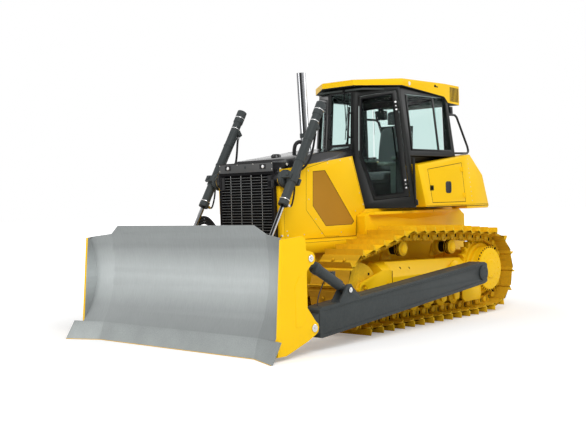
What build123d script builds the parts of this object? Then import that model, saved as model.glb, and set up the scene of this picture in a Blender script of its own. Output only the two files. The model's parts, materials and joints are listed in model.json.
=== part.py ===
from build123d import *
import os
from math import atan2, cos, degrees, hypot, pi, radians, sin

# Crawler bulldozer of the 20-tonne class with an outside-mounted semi-U blade.
# Millimetres. +X runs forward to the blade, +Y to the machine's left, +Z up from the ground.
# Lengths along X are first measured from the sprocket axle; save() moves every node so that
# the origin is at ground level under the middle of the machine's length.

# ---------------------------------------------------------------- driving dimensions
# tracks
GAUGE = 1880              # between track centres
SHOE_WIDTH = 560
SHOE_COUNT = 38
SHOE_PLATE = 15           # plate thickness
GROUSER_HEIGHT = 65
LINK_ABOVE_PIN = 62       # pin centre to the shoe's inner face
LINK_BELOW_PIN = 45       # pin centre to the rail that the rollers run on
RAIL_SPACING = 165        # between the middles of the two link rails
RAIL_WIDTH = 46
SPROCKET_TEETH = 25
SPROCKET_Z = 570
SPROCKET_PITCH_R = 408
IDLER_X = 2650
IDLER_Z = 500
ROLLER_R = 95
ROLLER_SHAFT_R = 38
HANGER = 18               # plates that hold the roller shafts
FRAME_HALF_WIDTH = 180    # of each track frame
ROLLER_COUNT = 7
ROLLER_FIRST_X = 462
ROLLER_LAST_X = 2206
CARRIER_R = 90
CARRIERS = [(1792, 930), (734, 900)]      # x, z of each carrier roller
RUN_GAP = 0.3             # left between curved faces that bear on each other

# push beams, blade and their cylinders
TRUNNION = (770, 580)     # x, z of the axle that both push beams turn on
TRUNNION_R = 62
SOCKET_R = 122
BEAM_INNER = 1300
BEAM_WIDTH = 220
BEAM_OUTER = BEAM_INNER + BEAM_WIDTH
LOWER_PIN = (4056, 270)   # x, z of the blade's lower pins
UPPER_PIN = (4087, 967)   # x, z of the tilt cylinders' pins on the blade
CLEVIS_PIN = (3408, 592)  # x, z of the tilt cylinders' pins on the beams
PIN_Y = BEAM_OUTER - 50   # the middle of the beam eyes
LUG_R = 70
END_PLATE_OUTER = PIN_Y + 116
END_PLATE = 36
CLEVIS_GAP = 76           # between the plates that hold a tilt cylinder's eye
TILT_INSET = 8            # tilt cylinders stand this far inboard of the beam pins
BLADE_TIP_X = 4770
BLADE_TIP_Y = 1660
EDGE_PLATE = 28
EDGE_CLEARANCE = 2        # cutting edge above the ground
LIFT_TRUNNION = (3294, 1790)   # x, z of the lift cylinders' yokes beside the nose
LIFT_Y = 650
LIFT_EYE = (3950, 700)    # x, z of the lift rods' pins on the blade
LIFT_TOP_LENGTH = 1010    # yoke to the top of the barrel
LIFT_LOW_LENGTH = 341     # yoke to the barrel's gland
LIFT_BARREL_R = 52
LIFT_ROD_R = 24
BOSS_R = 95               # mounting boss behind each yoke
TILT_BARREL_R = 56
TILT_ROD_R = 30

# body
NOSE_FRONT = 3393
NOSE_BACK = 3155
NOSE_HALF = 443
NOSE_TOP = 1993
HOOD_REAR = 1980
HOOD_REAR_TOP = 2193
HOOD_HALF = 500
HOOD_TOP_HALF = 400
PANEL = 14
FRAME_HALF = 420
FRAME_BOTTOM = 420
RAIL_TOP = 1090           # of the engine's side rails
REAR_X = -830             # end of the drawbar
DRAWBAR_R = 26            # bore for the hitch pin
HITCH_PLATE = 60
HITCH_Z = 470
REAR_FACE = -560          # bolting face for a ripper or winch
REAR_PADS_Z = 900
REAR_PADS_Y = 560         # between the bolt holes across the machine
REAR_PADS_UP = 420        # and up it
REAR_PAD_HOLE_R = 16.5
REAR_PAD_DEPTH = 60
FENDER_OUTER = 870
FENDER_INNER = 625
FENDER_LOW = 1378
PLATFORM_HALF = 620       # half the width of the hull's top under the cab
CAB_WALL = 55
CAB_FLOOR = 1416
CAB_SPLIT = 2075          # the cab is narrow below this height behind its doors
CAB_TOP = 2960
CAB_REAR = 165
DOOR_GAP = 6
STACK = (2519, 120)       # x, y of the exhaust
STACK_TOP = 3085
STACK_R = 55

MIDDLE_X = (BLADE_TIP_X + REAR_X) / 2


# ---------------------------------------------------------------- tools of the trade
def save(name, *solids):
    """Writes one node, moved to the machine's own origin."""
    solids = [s for group in solids for s in (group if isinstance(group, list) else [group])]
    pieces = [piece for s in solids for piece in s.solids()]
    export_step(Pos(-MIDDLE_X, 0, 0) * Compound(children=pieces), f"parts/{name}.step")


def block(x0, x1, y0, y1, z0, z1):
    return Pos((x0 + x1) / 2, (y0 + y1) / 2, (z0 + z1) / 2) * Box(abs(x1 - x0), abs(y1 - y0), abs(z1 - z0))


def side_plate(points, y0, y1):
    """A plate with an outline of x, z points, from y0 to y1."""
    face = Plane.XZ * make_face(Polyline(*points, close=True))
    return Pos(0, max(y0, y1), 0) * extrude(face, abs(y1 - y0))


def front_plate(points, x0, x1):
    """A plate with an outline of y, z points, from x0 to x1."""
    face = Plane.YZ * make_face(Polyline(*points, close=True))
    return Pos(min(x0, x1), 0, 0) * extrude(face, abs(x1 - x0))


def top_plate(points, z0, z1):
    """A plate with an outline of x, y points, from z0 to z1."""
    return Pos(0, 0, min(z0, z1)) * extrude(make_face(Polyline(*points, close=True)), abs(z1 - z0))


def across(x, points):
    """A face with an outline of y, z points, standing across the machine at x."""
    return Plane((x, 0, 0), x_dir=(0, 1, 0), z_dir=(1, 0, 0)) * make_face(Polyline(*points, close=True))


def bar(start, end, radius):
    """A round bar between two points."""
    start, end = Vector(*start), Vector(*end)
    run = end - start
    return Plane(start, z_dir=run) * extrude(Circle(radius), run.length)


def cross_bar(x, z, radius, y0, y1):
    return bar((x, min(y0, y1), z), (x, max(y0, y1), z), radius)


def turned(profile, x, z):
    """A piece turned about a line along Y: profile holds y, radius points."""
    points = [(y, 0) for y in (profile[0][0],)] + profile + [(profile[-1][0], 0)]
    face = make_face(Polyline(*[(r, y) for y, r in points], close=True))
    return Pos(x, 0, z) * revolve(Plane.XY * face, Axis.Y)


def ears(outline, middle, gap, plate):
    """Two like plates either side of a gap about y = middle."""
    inner = side_plate(outline, middle - gap / 2 - plate, middle - gap / 2)
    return inner + side_plate(outline, middle + gap / 2, middle + gap / 2 + plate)


def mirrored(solid):
    return mirror(solid, about=Plane.XZ)


def both_sides(solid):
    return [solid, mirrored(solid)]


os.makedirs("parts", exist_ok=True)
track_y = GAUGE / 2


# ---------------------------------------------------------------- track chain
def belt(circles):
    """Straight runs and arcs of a belt round circles of x, z, radius, in order; each piece is
    (length, point at a distance along it, heading at that distance)."""
    pieces = []
    tangents = []
    for (x0, z0, r0), (x1, z1, r1) in zip(circles, circles[1:] + circles[:1]):
        span = hypot(x1 - x0, z1 - z0)
        heading = atan2(z1 - z0, x1 - x0)
        normal = heading + pi / 2 - atan2(r1 - r0, (span ** 2 - (r1 - r0) ** 2) ** 0.5) * -1
        tangents.append((normal, (x0 + r0 * cos(normal), z0 + r0 * sin(normal)),
                         (x1 + r1 * cos(normal), z1 + r1 * sin(normal))))
    for k, (x, z, r) in enumerate(circles):
        arrive, leave = tangents[k - 1][0], tangents[k][0]
        sweep = (arrive - leave) % (2 * pi)
        pieces.append((r * sweep,
                       lambda s, x=x, z=z, r=r, a=arrive: (x + r * cos(a - s / r), z + r * sin(a - s / r)),
                       lambda s, r=r, a=arrive: a - s / r - pi / 2))
        start, end = tangents[k][1], tangents[k][2]
        length = hypot(end[0] - start[0], end[1] - start[1])
        pieces.append((length,
                       lambda s, p=start, q=end, n=length: (p[0] + (q[0] - p[0]) * s / n,
                                                            p[1] + (q[1] - p[1]) * s / n),
                       lambda s, n=tangents[k][0]: n - pi / 2))
    return pieces


def along(pieces, distance):
    """Point and heading at a distance along a belt."""
    distance = distance % sum(piece[0] for piece in pieces)
    for length, place, heading in pieces:
        if distance <= length:
            return place(distance), heading(distance)
        distance -= length
    return pieces[-1][1](pieces[-1][0]), pieces[-1][2](pieces[-1][0])


carrier_belt_r = CARRIER_R + LINK_BELOW_PIN
roller_belt_r = ROLLER_R + LINK_BELOW_PIN
IDLER_PITCH_R = IDLER_Z - LINK_ABOVE_PIN - SHOE_PLATE - GROUSER_HEIGHT
idler_tread_r = IDLER_PITCH_R - LINK_BELOW_PIN
roller_z = LINK_ABOVE_PIN + SHOE_PLATE + GROUSER_HEIGHT + roller_belt_r
chain = belt([(0, SPROCKET_Z, SPROCKET_PITCH_R),
              (CARRIERS[1][0], CARRIERS[1][1], carrier_belt_r),
              (CARRIERS[0][0], CARRIERS[0][1], carrier_belt_r),
              (IDLER_X, IDLER_Z, IDLER_PITCH_R),
              (ROLLER_FIRST_X, roller_z, roller_belt_r)])
SHOE_PITCH = sum(piece[0] for piece in chain) / SHOE_COUNT


def chain_outline(profile):
    """A closed outline: the profile's points, along and out from the pin line, at every shoe."""
    points = []
    for k in range(SHOE_COUNT):
        (x, z), heading = along(chain, (k + 0.5) * SHOE_PITCH)
        for t, n in profile:
            points.append((x + t * cos(heading) - n * sin(heading), z + t * sin(heading) + n * cos(heading)))
    return points


half = SHOE_PITCH / 2
plate_out = LINK_ABOVE_PIN + SHOE_PLATE
tip_out = plate_out + GROUSER_HEIGHT
shoe_outer = chain_outline([(-half + 4, plate_out), (half - 42, plate_out), (half - 34, tip_out),
                            (half - 16, tip_out), (half - 8, plate_out)])
shoe_inner = chain_outline([(-half + 4, LINK_ABOVE_PIN), (half - 8, LINK_ABOVE_PIN)])
rail_inner = chain_outline([(-half + 26, -LINK_BELOW_PIN), (half - 26, -LINK_BELOW_PIN), (half, -10)])


def ring(outer, inner, y0, y1):
    return side_plate(outer, y0, y1) - side_plate(inner, y0 - 1, y1 + 1)


def track(side):
    middle = side * track_y
    shoes = ring(shoe_outer, shoe_inner, middle - SHOE_WIDTH / 2, middle + SHOE_WIDTH / 2)
    for rail in (-1, 1):
        rail_middle = middle + rail * RAIL_SPACING / 2
        rails = ring(shoe_inner, rail_inner, rail_middle - RAIL_WIDTH / 2, rail_middle + RAIL_WIDTH / 2)
        shoes = shoes + rails
    return shoes


# ---------------------------------------------------------------- sprocket, idler, rollers
inside_rails = RAIL_SPACING / 2 - RAIL_WIDTH / 2
outside_rails = RAIL_SPACING / 2 + RAIL_WIDTH / 2
tooth_tip = SPROCKET_PITCH_R + 24
tooth_root = SPROCKET_PITCH_R - 34
tooth_half_width = inside_rails - 22


def sprocket(side):
    """Toothed rim bolted to the final drive's round housing."""
    tooth = 2 * pi / SPROCKET_TEETH
    rim = []
    for k in range(SPROCKET_TEETH):
        for turn, radius in ((-0.30, tooth_root), (-0.10, tooth_tip), (0.10, tooth_tip), (0.30, tooth_root)):
            angle = (k + turn) * tooth
            rim.append((radius * cos(angle), SPROCKET_Z + radius * sin(angle)))
    y = side * track_y
    teeth = side_plate(rim, y - tooth_half_width, y + tooth_half_width)
    hub = [(FRAME_HALF + 120, 250), (track_y - 150, 250), (track_y - 110, 300), (track_y - 40, 300),
           (track_y - 40, 345), (track_y + 66, 345), (track_y + 76, 332),
           (track_y + 76, 255), (track_y + 92, 235), (track_y + 92, 60)]
    housing = turned(hub, 0, SPROCKET_Z)
    return teeth + (housing if side > 0 else mirrored(housing))


IDLER_FLANGE = 20         # height of the idler's middle flange over its tread
IDLER_HUB = 150           # from the idler's middle to the end of its hub
IDLER_SHAFT_R = 62


def idler(side):
    tread, flange = idler_tread_r - RUN_GAP, idler_tread_r + IDLER_FLANGE
    half_profile = [(inside_rails - 10, flange), (inside_rails - 6, tread), (outside_rails + 8, tread),
                    (outside_rails + 8, 90), (IDLER_HUB, IDLER_SHAFT_R)]
    profile = [(-y, r) for y, r in reversed(half_profile)] + half_profile
    wheel = turned([(track_y + y, r) for y, r in profile], IDLER_X, IDLER_Z)
    return wheel if side > 0 else mirrored(wheel)


ROLLER_FLANGE = 18        # height of a roller's flanges over its tread
FLANGE_FOOT = 16          # from a flange's outer edge to the tread


def roller_profile():
    """Tread under the rails between two flanges, dished on either side down to the shaft."""
    rim, tread, end = outside_rails + 20, ROLLER_R - RUN_GAP, FRAME_HALF_WIDTH - HANGER - RUN_GAP
    return [(-end, ROLLER_SHAFT_R), (-rim, ROLLER_R + ROLLER_FLANGE), (FLANGE_FOOT - rim, tread),
            (rim - FLANGE_FOOT, tread), (rim, ROLLER_R + ROLLER_FLANGE), (end, ROLLER_SHAFT_R)]


roller_step = (ROLLER_LAST_X - ROLLER_FIRST_X) / (ROLLER_COUNT - 1)
roller_places = [ROLLER_FIRST_X + k * roller_step for k in range(ROLLER_COUNT)]


def rollers(side):
    one = turned([(track_y + y, r) for y, r in roller_profile()], 0, roller_z)
    one = one if side > 0 else mirrored(one)
    return [Pos(x, 0, 0) * one for x in roller_places]


frame_top = 790
frame_inner = track_y - FRAME_HALF_WIDTH
frame_outer = track_y + FRAME_HALF_WIDTH
FRAME_LOW = roller_z + ROLLER_R + 26      # underside of the track frame, over the roller flanges
GUARD = 14                                # plates that guide the chain at the frame's ends


def carriers(side):
    """Two rollers, each overhung on a shaft from a post on the track frame's inner edge."""
    pieces = []
    for x, z in CARRIERS:
        tread = CARRIER_R - RUN_GAP
        outline = [(-150, 34), (-126, 34), (-126, CARRIER_R + 12), (-109, tread), (-60, tread),
                   (-60, CARRIER_R - 22), (36, CARRIER_R - 22), (36, tread), (108, tread), (122, 55)]
        roller = turned([(track_y + y, r) for y, r in outline], x, z)
        post = side_plate([(x - 95, frame_top), (x + 95, frame_top), (x + 52, z), (x + 30, z + 44),
                           (x - 30, z + 44), (x - 52, z)], track_y - 190, track_y - 150)
        both = roller + post
        pieces.append(both if side > 0 else mirrored(both))
    return pieces


# ---------------------------------------------------------------- track frames
FRAME_FRONT_X = 2130      # where the recoil housing's round cover starts


def track_frame(side):
    """Box frame with a bevelled top, a round-topped recoil housing that forks round the idler,
    a trunnion boss for the push beam and guards beside the rollers."""
    main = loft([across(x, [(frame_inner, FRAME_LOW), (frame_outer, FRAME_LOW), (frame_outer, shoulder),
                            (track_y + 70, top), (frame_inner + 30, top), (frame_inner, top - 40)])
                 for x, shoulder, top in ((FRAME_FRONT_X, 610, frame_top), (500, 600, frame_top - 45))],
                ruled=True)
    cover_r = 205
    cover = bar((FRAME_FRONT_X - 4, track_y, 580), (FRAME_FRONT_X + 170, track_y, 580), cover_r)
    cover = cover & block(0, IDLER_X, track_y - 176, track_y + 176, FRAME_LOW, frame_top)
    fork = side_plate([(FRAME_FRONT_X, FRAME_LOW), (FRAME_FRONT_X, 700), (FRAME_FRONT_X + 170, 705),
                       (IDLER_X + 60, 590), (IDLER_X + 95, 500), (IDLER_X + 60, 420), (IDLER_X - 90, 395)],
                      track_y + 152, track_y + 176)
    arms = fork + Pos(0, -328, 0) * fork
    boss = turned([(frame_outer - 20, 150), (frame_outer, 150), (frame_outer + 30, 105),
                   (BEAM_INNER - 7.3, 95)], *TRUNNION)
    guards = Part()
    for y in (frame_inner, frame_outer - HANGER):
        for x in roller_places:
            guards += side_plate([(x - 78, FRAME_LOW + 10), (x - 52, roller_z - 44), (x - 34, roller_z - 56),
                                  (x + 34, roller_z - 56), (x + 52, roller_z - 44), (x + 78, FRAME_LOW + 10)],
                                 y, y + HANGER)
    for x0, x1 in ((ROLLER_FIRST_X - 261, ROLLER_FIRST_X + 181), (ROLLER_LAST_X - 110, ROLLER_LAST_X + 200)):
        for y in (frame_inner - GUARD, frame_outer):
            guards += side_plate([(x0, 330), (x0, 236), (x0 + 34, 190), (x1 - 60, 181), (x1, 236), (x1, 330),
                                  (x1 - 60, FRAME_LOW + 40), (x0 + 60, FRAME_LOW + 40)], y, y + GUARD)
    body = main + cover + arms + boss + guards
    body -= cross_bar(IDLER_X, IDLER_Z, IDLER_SHAFT_R + 1, frame_inner - 50, frame_outer + 50)
    return body if side > 0 else mirrored(body)


# ---------------------------------------------------------------- main frame
def main_frame():
    """Welded hull between the tracks: keel box, side rails under the hood, rear case with the
    final drives' flanges, equalizer and pivot beams to the track frames, and the drawbar."""
    keel_front, keel_top = NOSE_BACK + 45, RAIL_TOP - 90
    keel = side_plate([(REAR_FACE, FRAME_BOTTOM + 100), (REAR_FACE + 120, FRAME_BOTTOM),
                       (keel_front - 300, FRAME_BOTTOM), (keel_front, FRAME_BOTTOM + 140),
                       (keel_front, keel_top), (REAR_FACE, keel_top)], -FRAME_HALF, FRAME_HALF)
    rail_half = HOOD_HALF + 100
    rails = front_plate([(-rail_half, keel_top), (-rail_half + 40, keel_top - 70), (rail_half - 40, keel_top - 70),
                         (rail_half, keel_top), (rail_half, RAIL_TOP - 40), (HOOD_HALF, RAIL_TOP),
                         (-HOOD_HALF, RAIL_TOP), (-rail_half, RAIL_TOP - 40)], 1880, NOSE_BACK - 5)
    rear = side_plate([(REAR_FACE, 960), (REAR_FACE, 1290), (-420, CAB_FLOOR - 40), (1900, CAB_FLOOR - 40),
                       (1900, 960)], -FRAME_HALF, FRAME_HALF)
    deck = side_plate([(-450, CAB_FLOOR - 40), (-450, CAB_FLOOR), (1810, CAB_FLOOR), (2030, 1330),
                       (2030, 1290), (1790, CAB_FLOOR - 40)], -HOOD_HALF + PANEL, HOOD_HALF - PANEL)
    flanges = cross_bar(0, SPROCKET_Z, 270, RUN_GAP - FRAME_HALF - 120, FRAME_HALF + 120 - RUN_GAP)
    pivot = cross_bar(900, 620, 75, -frame_inner, frame_inner)
    equalizer = block(1980, 2090, -frame_inner, frame_inner, 640, 740)
    top = FENDER_LOW - RUN_GAP
    platform = side_plate([(1978, 1334), (1880, top), (60, top), (66, 1352), (130, 1322), (190, 1262),
                           (222, 1190), (228, 1100), (1978, 1100)], FRAME_HALF - 1, PLATFORM_HALF)
    ledge = side_plate([(1880, top), (60, top), (66, 1345), (1900, 1345)],
                       PLATFORM_HALF - 1, PLATFORM_HALF + 80)
    fairing = loft([across(x, [(PLATFORM_HALF - 1, 1346), (PLATFORM_HALF - 1, low), (PLATFORM_HALF + wide, 1346)])
                    for x, low, wide in ((1820, 1338, 10), (1000, 1268, 76), (240, 1296, 76))], ruled=True)
    hitch_top, flat_end = HITCH_Z + HITCH_PLATE / 2, REAR_X + 115
    hitch = side_plate([(REAR_FACE + 5, HITCH_Z - 40), (flat_end, hitch_top - HITCH_PLATE),
                        (REAR_X, hitch_top - HITCH_PLATE), (REAR_X, hitch_top), (flat_end, hitch_top),
                        (REAR_FACE + 5, HITCH_Z + 150)], -90, 90)
    hull = keel + rails + rear + deck + flanges + pivot + equalizer + hitch
    for piece in (platform, ledge, fairing):
        hull = hull + piece + mirrored(piece)
    hull -= Pos(REAR_X + 70, 0, HITCH_Z) * Cylinder(DRAWBAR_R, 2 * HITCH_PLATE)
    for y in (-REAR_PADS_Y / 2, REAR_PADS_Y / 2):
        for z in (REAR_PADS_Z - REAR_PADS_UP / 2, REAR_PADS_Z + REAR_PADS_UP / 2):
            hull -= bar((REAR_FACE - 1, y, z), (REAR_FACE + REAR_PAD_DEPTH, y, z), REAR_PAD_HOLE_R)
    return hull


# ---------------------------------------------------------------- hood, nose and engine
def slope(x, front, rear):
    """Height at x on a straight line between (x, z) front and rear points."""
    return front[1] + (x - front[0]) * (rear[1] - front[1]) / (rear[0] - front[0])


hood_line = ((NOSE_FRONT, NOSE_TOP), (HOOD_REAR, HOOD_REAR_TOP))
belt_line = ((2966, 1947), (2044, 2070))    # top edge of the side panels


def hood_top():
    """Black bonnet: flat top and chamfered shoulders, rising to the cab."""
    faces = []
    for x in (NOSE_BACK, HOOD_REAR):
        top = slope(x, *hood_line)
        low = slope(x, *belt_line)
        outline = [(-HOOD_HALF, low), (-HOOD_TOP_HALF - 20, top - 12), (-HOOD_TOP_HALF + 20, top),
                   (HOOD_TOP_HALF - 20, top), (HOOD_TOP_HALF + 20, top - 12), (HOOD_HALF, low)]
        faces.append(across(x, outline))
    shell = loft(faces, ruled=True)
    inner = Pos(-1, 0, 0) * loft([across(x, [
        (-HOOD_HALF + 20, slope(x, *belt_line) - 30), (-HOOD_TOP_HALF + 20, slope(x, *hood_line) - PANEL),
        (HOOD_TOP_HALF - 20, slope(x, *hood_line) - PANEL), (HOOD_HALF - 20, slope(x, *belt_line) - 30)])
        for x in (NOSE_BACK - PANEL, HOOD_REAR)], ruled=True)
    cap = Pos(2871, 0, slope(2871, *hood_line) + 8) * Cylinder(60, 30)
    return shell - inner + cap


panel_front = 3290
panel_outline = [(panel_front, 1092), (panel_front, slope(panel_front, *belt_line)),
                 (2044, slope(2044, *belt_line)), (1814, 1413), (1990, 1335), (2010, 1092)]
screen_outline = [(2779, 1879), (2565, 1891), (2043, 1273), (2085, 1238), (2571, 1236), (2795, 1478)]


def side_panel(side):
    """Engine side panel with a six-sided screen of fine slots set in it."""
    panel = side_plate(panel_outline, HOOD_HALF - PANEL, HOOD_HALF)
    panel -= side_plate(screen_outline, HOOD_HALF - 5, HOOD_HALF + 1)
    panel -= cross_bar(*LIFT_TRUNNION, BOSS_R + 2, HOOD_HALF - 20, HOOD_HALF + 1)
    return panel if side > 0 else mirrored(panel)


CORE_WINDOW = (1100, 1860)      # foot and head of the opening in the radiator guard
CORE_HALF = NOSE_HALF - 45


def nose():
    """Radiator guard: a deep frame round the cooling pack, with the lamp bar across its top."""
    outer = front_plate([(-NOSE_HALF, 1000), (-NOSE_HALF, NOSE_TOP - 12), (-NOSE_HALF + 12, NOSE_TOP),
                         (NOSE_HALF - 12, NOSE_TOP), (NOSE_HALF, NOSE_TOP - 12), (NOSE_HALF, 1000)],
                        NOSE_BACK, NOSE_FRONT)
    guard = outer - block(NOSE_BACK - 1, NOSE_FRONT + 1, -CORE_HALF, CORE_HALF, *CORE_WINDOW)
    step = front_plate([(-NOSE_HALF + 6, 1000), (-NOSE_HALF + 6, 1885), (NOSE_HALF - 6, 1885),
                        (NOSE_HALF - 6, 1000)], NOSE_FRONT - 35, NOSE_FRONT + 1)
    guard -= step
    for side in (-1, 1):
        guard -= Pos(NOSE_FRONT, side * 285, 1940) * Box(24, 96, 56)
    cheeks = [side_plate([(panel_front, 1092), (panel_front, 1905), (NOSE_FRONT - 45, 1905),
                          (NOSE_FRONT - 60, 1092)], side * NOSE_HALF, side * HOOD_HALF) for side in (-1, 1)]
    for cheek in cheeks:
        guard += cheek
    boss = cross_bar(*LIFT_TRUNNION, BOSS_R, NOSE_HALF - 2, HOOD_HALF)
    guard += boss + mirrored(boss)
    return guard


def radiator_core():
    """Cooling pack, standing in the guard's opening."""
    return block(NOSE_BACK + 5, 3330, RUN_GAP - CORE_HALF, CORE_HALF - RUN_GAP,
                 CORE_WINDOW[0] + RUN_GAP, CORE_WINDOW[1] - RUN_GAP)


GRILLE_HINGE_R = 9


def grille_door():
    """Hinged grille: a rim with level bars and upright ties between."""
    half_width = NOSE_HALF - 12
    bottom, top = 1006, 1879
    back = NOSE_FRONT - 35 + 1
    rim = front_plate([(-half_width, bottom), (-half_width, top), (half_width, top), (half_width, bottom)],
                      back, NOSE_FRONT - 3)
    rim -= front_plate([(-half_width + 30, bottom + 30), (-half_width + 30, top - 30),
                        (half_width - 30, top - 30), (half_width - 30, bottom + 30)], back - 1, NOSE_FRONT)
    pitch = 32
    count = int((top - bottom - 60) / pitch)
    bars = [block(back + 6, NOSE_FRONT - 5, -half_width + 20, half_width - 20, z - 5, z + 5)
            for z in (bottom + 30 + pitch * (k + 0.5) for k in range(count))]
    ties = [block(back, back + 6, y - 5, y + 5, bottom + 20, top - 20) for y in (-252, -84, 84, 252)]
    for piece in bars + ties:
        rim += piece
    for z in (1150, 1740):
        rim += bar((NOSE_FRONT + GRILLE_HINGE_R + RUN_GAP, NOSE_HALF - 6, z - 40),
                   (NOSE_FRONT + GRILLE_HINGE_R + RUN_GAP, NOSE_HALF - 6, z + 40), GRILLE_HINGE_R)
        hinge_front = NOSE_FRONT + GRILLE_HINGE_R
        rim += block(NOSE_FRONT - 10, hinge_front, half_width - 60, half_width - 1, z - 34, z + 34)
        rim += block(NOSE_FRONT + RUN_GAP, hinge_front, half_width - 2, NOSE_HALF - 6, z - 34, z + 34)
    return rim


# ---------------------------------------------------------------- cab
def cab_plan(z, inset=0):
    """Corner points of the cab's outline at height z: windscreen, door posts and rear corners."""
    rise = (z - 1565) / (2945 - 1565)
    screen_x = 1709 - 96 * (z - 1565) / 1380 - inset
    screen_y = 250 - 33 * rise - 0.45 * inset
    post_x, post_y = 1253 + 17 * rise - 0.35 * inset, 835 - 160 * rise - inset
    rear_x = CAB_REAR + 60 * rise + inset
    half_points = [(screen_x, screen_y), (post_x, post_y), (rear_x, post_y)]
    return half_points + [(x, -y) for x, y in reversed(half_points)]


def cab_block(z0, z1, inset):
    return loft([Plane.XY.offset(z) * make_face(Polyline(*cab_plan(z, inset), close=True)) for z in (z0, z1)],
                ruled=True)


door_origin = Vector(1253, 835, 1565)
door_up = (Vector(1270, 675, 2945) - door_origin).normalized()
door_in = (Vector(1709, 250, 1565) - door_origin)
door_out = door_in.cross(door_up).normalized() * -1
door_out = door_out if door_out.Y > 0 else door_out * -1
door_plane = Plane(door_origin, x_dir=door_up.cross(door_out).normalized() * -1, z_dir=door_out)
if door_plane.x_dir.dot(door_in) < 0:
    door_plane = Plane(door_origin, x_dir=door_plane.x_dir * -1, z_dir=door_out)
# door outline in the plane of the door wall: distance from the rear post, height up the post
door_up_sign = 1 if door_plane.y_dir.dot(door_up) > 0 else -1
door_points = [(45, 0), (500, 0), (620, 600), (530, 1340), (45, 1360)]
glass_points = [(115, 75), (450, 75), (555, 605), (470, 1265), (115, 1280)]


def door_shape(points, grow, depth0, depth1):
    points = [(u, v * door_up_sign) for u, v in points]
    face = make_face(Polyline(*points, close=True))
    if grow:
        face = offset(face, grow, kind=Kind.INTERSECTION)
    return door_plane.offset(depth0) * extrude(face, depth1 - depth0)


def window_y(x0, x1, z0, z1):
    """A cutter through the side wall behind the door."""
    return side_plate([(x0 - 20, z0), (x1, z0), (x1, z1), (x0, z1)], 0, 1000)


SIDE_WINDOW = (275, 1165, 2150, 2865)


def cab_pockets(grow):
    """The room beside the lower cab that the fender tanks fill."""
    half_low = FENDER_INNER - RUN_GAP
    return [block(-400, 1215 + grow, half_low - grow, 1100, 1000, CAB_SPLIT + grow),
            block(-400, 1215 + grow, -1100, -half_low + grow, 1000, CAB_SPLIT + grow)]


def cab_frame():
    outer = cab_block(CAB_FLOOR, CAB_TOP, 0)
    inner = cab_block(CAB_FLOOR + 60, CAB_TOP + 1, CAB_WALL)
    for pocket in cab_pockets(0):
        outer -= pocket
    for pocket in cab_pockets(CAB_WALL):
        inner -= pocket
    frame = outer - inner
    opening = door_shape(door_points, 0, -CAB_WALL - 80, 60)
    side = window_y(*SIDE_WINDOW)
    for cutter in (opening, mirrored(opening), side, mirrored(side)):
        frame -= cutter
    frame -= front_plate([(-178, 2235), (-168, 2905), (168, 2905), (178, 2235)], 1400, 1800)
    frame -= front_plate([(-520, 1900), (-520, 2860), (520, 2860), (520, 1900)], 0, 400)
    return frame


DOOR_HINGE_U = 45
HINGE_R = 14


def door_hinge_line():
    """Foot and head of the cab door's hinge axis, just proud of the post."""
    place = door_plane.offset(HINGE_R + RUN_GAP)
    return tuple(tuple(place.from_local_coords((DOOR_HINGE_U, v * door_up_sign, 0))) for v in (0, 1360))


def door_block(u0, u1, height, length, depth0, depth1):
    """A block on the door's plane, about a height up the post."""
    return door_plane * Pos((u0 + u1) / 2, height * door_up_sign, (depth0 + depth1) / 2) * Box(
        u1 - u0, length, depth1 - depth0)


def cab_door(side):
    leaf = door_shape(door_points, -DOOR_GAP, -CAB_WALL + 8, -1)
    leaf -= door_shape(glass_points, 0, -CAB_WALL - 10, 10)
    pane = door_shape(glass_points, 0, -34, -28)
    foot, head = door_hinge_line()
    for knuckle in knuckles(foot, head, HINGE_R, (160, 1160), 90):
        leaf += knuckle
    for height in (160, 1160):
        leaf += door_block(DOOR_HINGE_U, 90, height, 70, RUN_GAP, HINGE_R)
        leaf += door_block(DOOR_HINGE_U + DOOR_GAP + 1, 90, height, 70, -10, RUN_GAP)
    return [(leaf if side > 0 else mirrored(leaf)), (pane if side > 0 else mirrored(pane))]


def cab_glass():
    screen = front_plate([(-177, 2236), (-167, 2904), (167, 2904), (177, 2236)], 1, 7)
    lean = atan2(96, 1380)
    screen = Pos(1631, 0, 2236) * Rotation(0, -degrees(lean), 0) * Pos(0, 0, -2236) * screen
    rear = front_plate([(-519, 1), (-519, 959), (519, 959), (519, 1)], 0, 6)
    rear = Pos(CAB_REAR + 42, 0, 1900) * Rotation(0, degrees(atan2(60, 1380)), 0) * rear
    rise0 = (SIDE_WINDOW[2] - 1565) / 1380
    lean_y = degrees(atan2(160, 1380))
    side = side_plate([(SIDE_WINDOW[0] - 19, SIDE_WINDOW[2] + 1), (SIDE_WINDOW[1] - 1, SIDE_WINDOW[2] + 1),
                       (SIDE_WINDOW[1] - 1, SIDE_WINDOW[3] + 2), (SIDE_WINDOW[0] + 1, SIDE_WINDOW[3] + 2)], -6, 0)
    side = Pos(0, 835 - 160 * rise0 - 25, SIDE_WINDOW[2]) * Rotation(lean_y, 0, 0) * Pos(0, 0, -SIDE_WINDOW[2]) * side
    return [screen, rear, side, mirrored(side)]


roof_line = ((215, 2806), (-400, 2790))     # underside behind the cab
roof_plan = [(1690, 255), (1285, 722), (300, 712), (-150, 640)]


def cab_roof():
    """Roof cap: thin at the front, deepening to the air-conditioner box behind."""
    plan = roof_plan + [(x, -y) for x, y in reversed(roof_plan)]
    cap = top_plate(plan, 2600, 3052)
    wedge = side_plate([(1800, 2986), (1285, 2968), (330, 2880), *roof_line, (-400, 2500),
                        (1800, 2500)], -1000, 1000)
    room = cab_block(2500, CAB_TOP + 0.5, -6)
    crown = cap - wedge - room
    return crown


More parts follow.
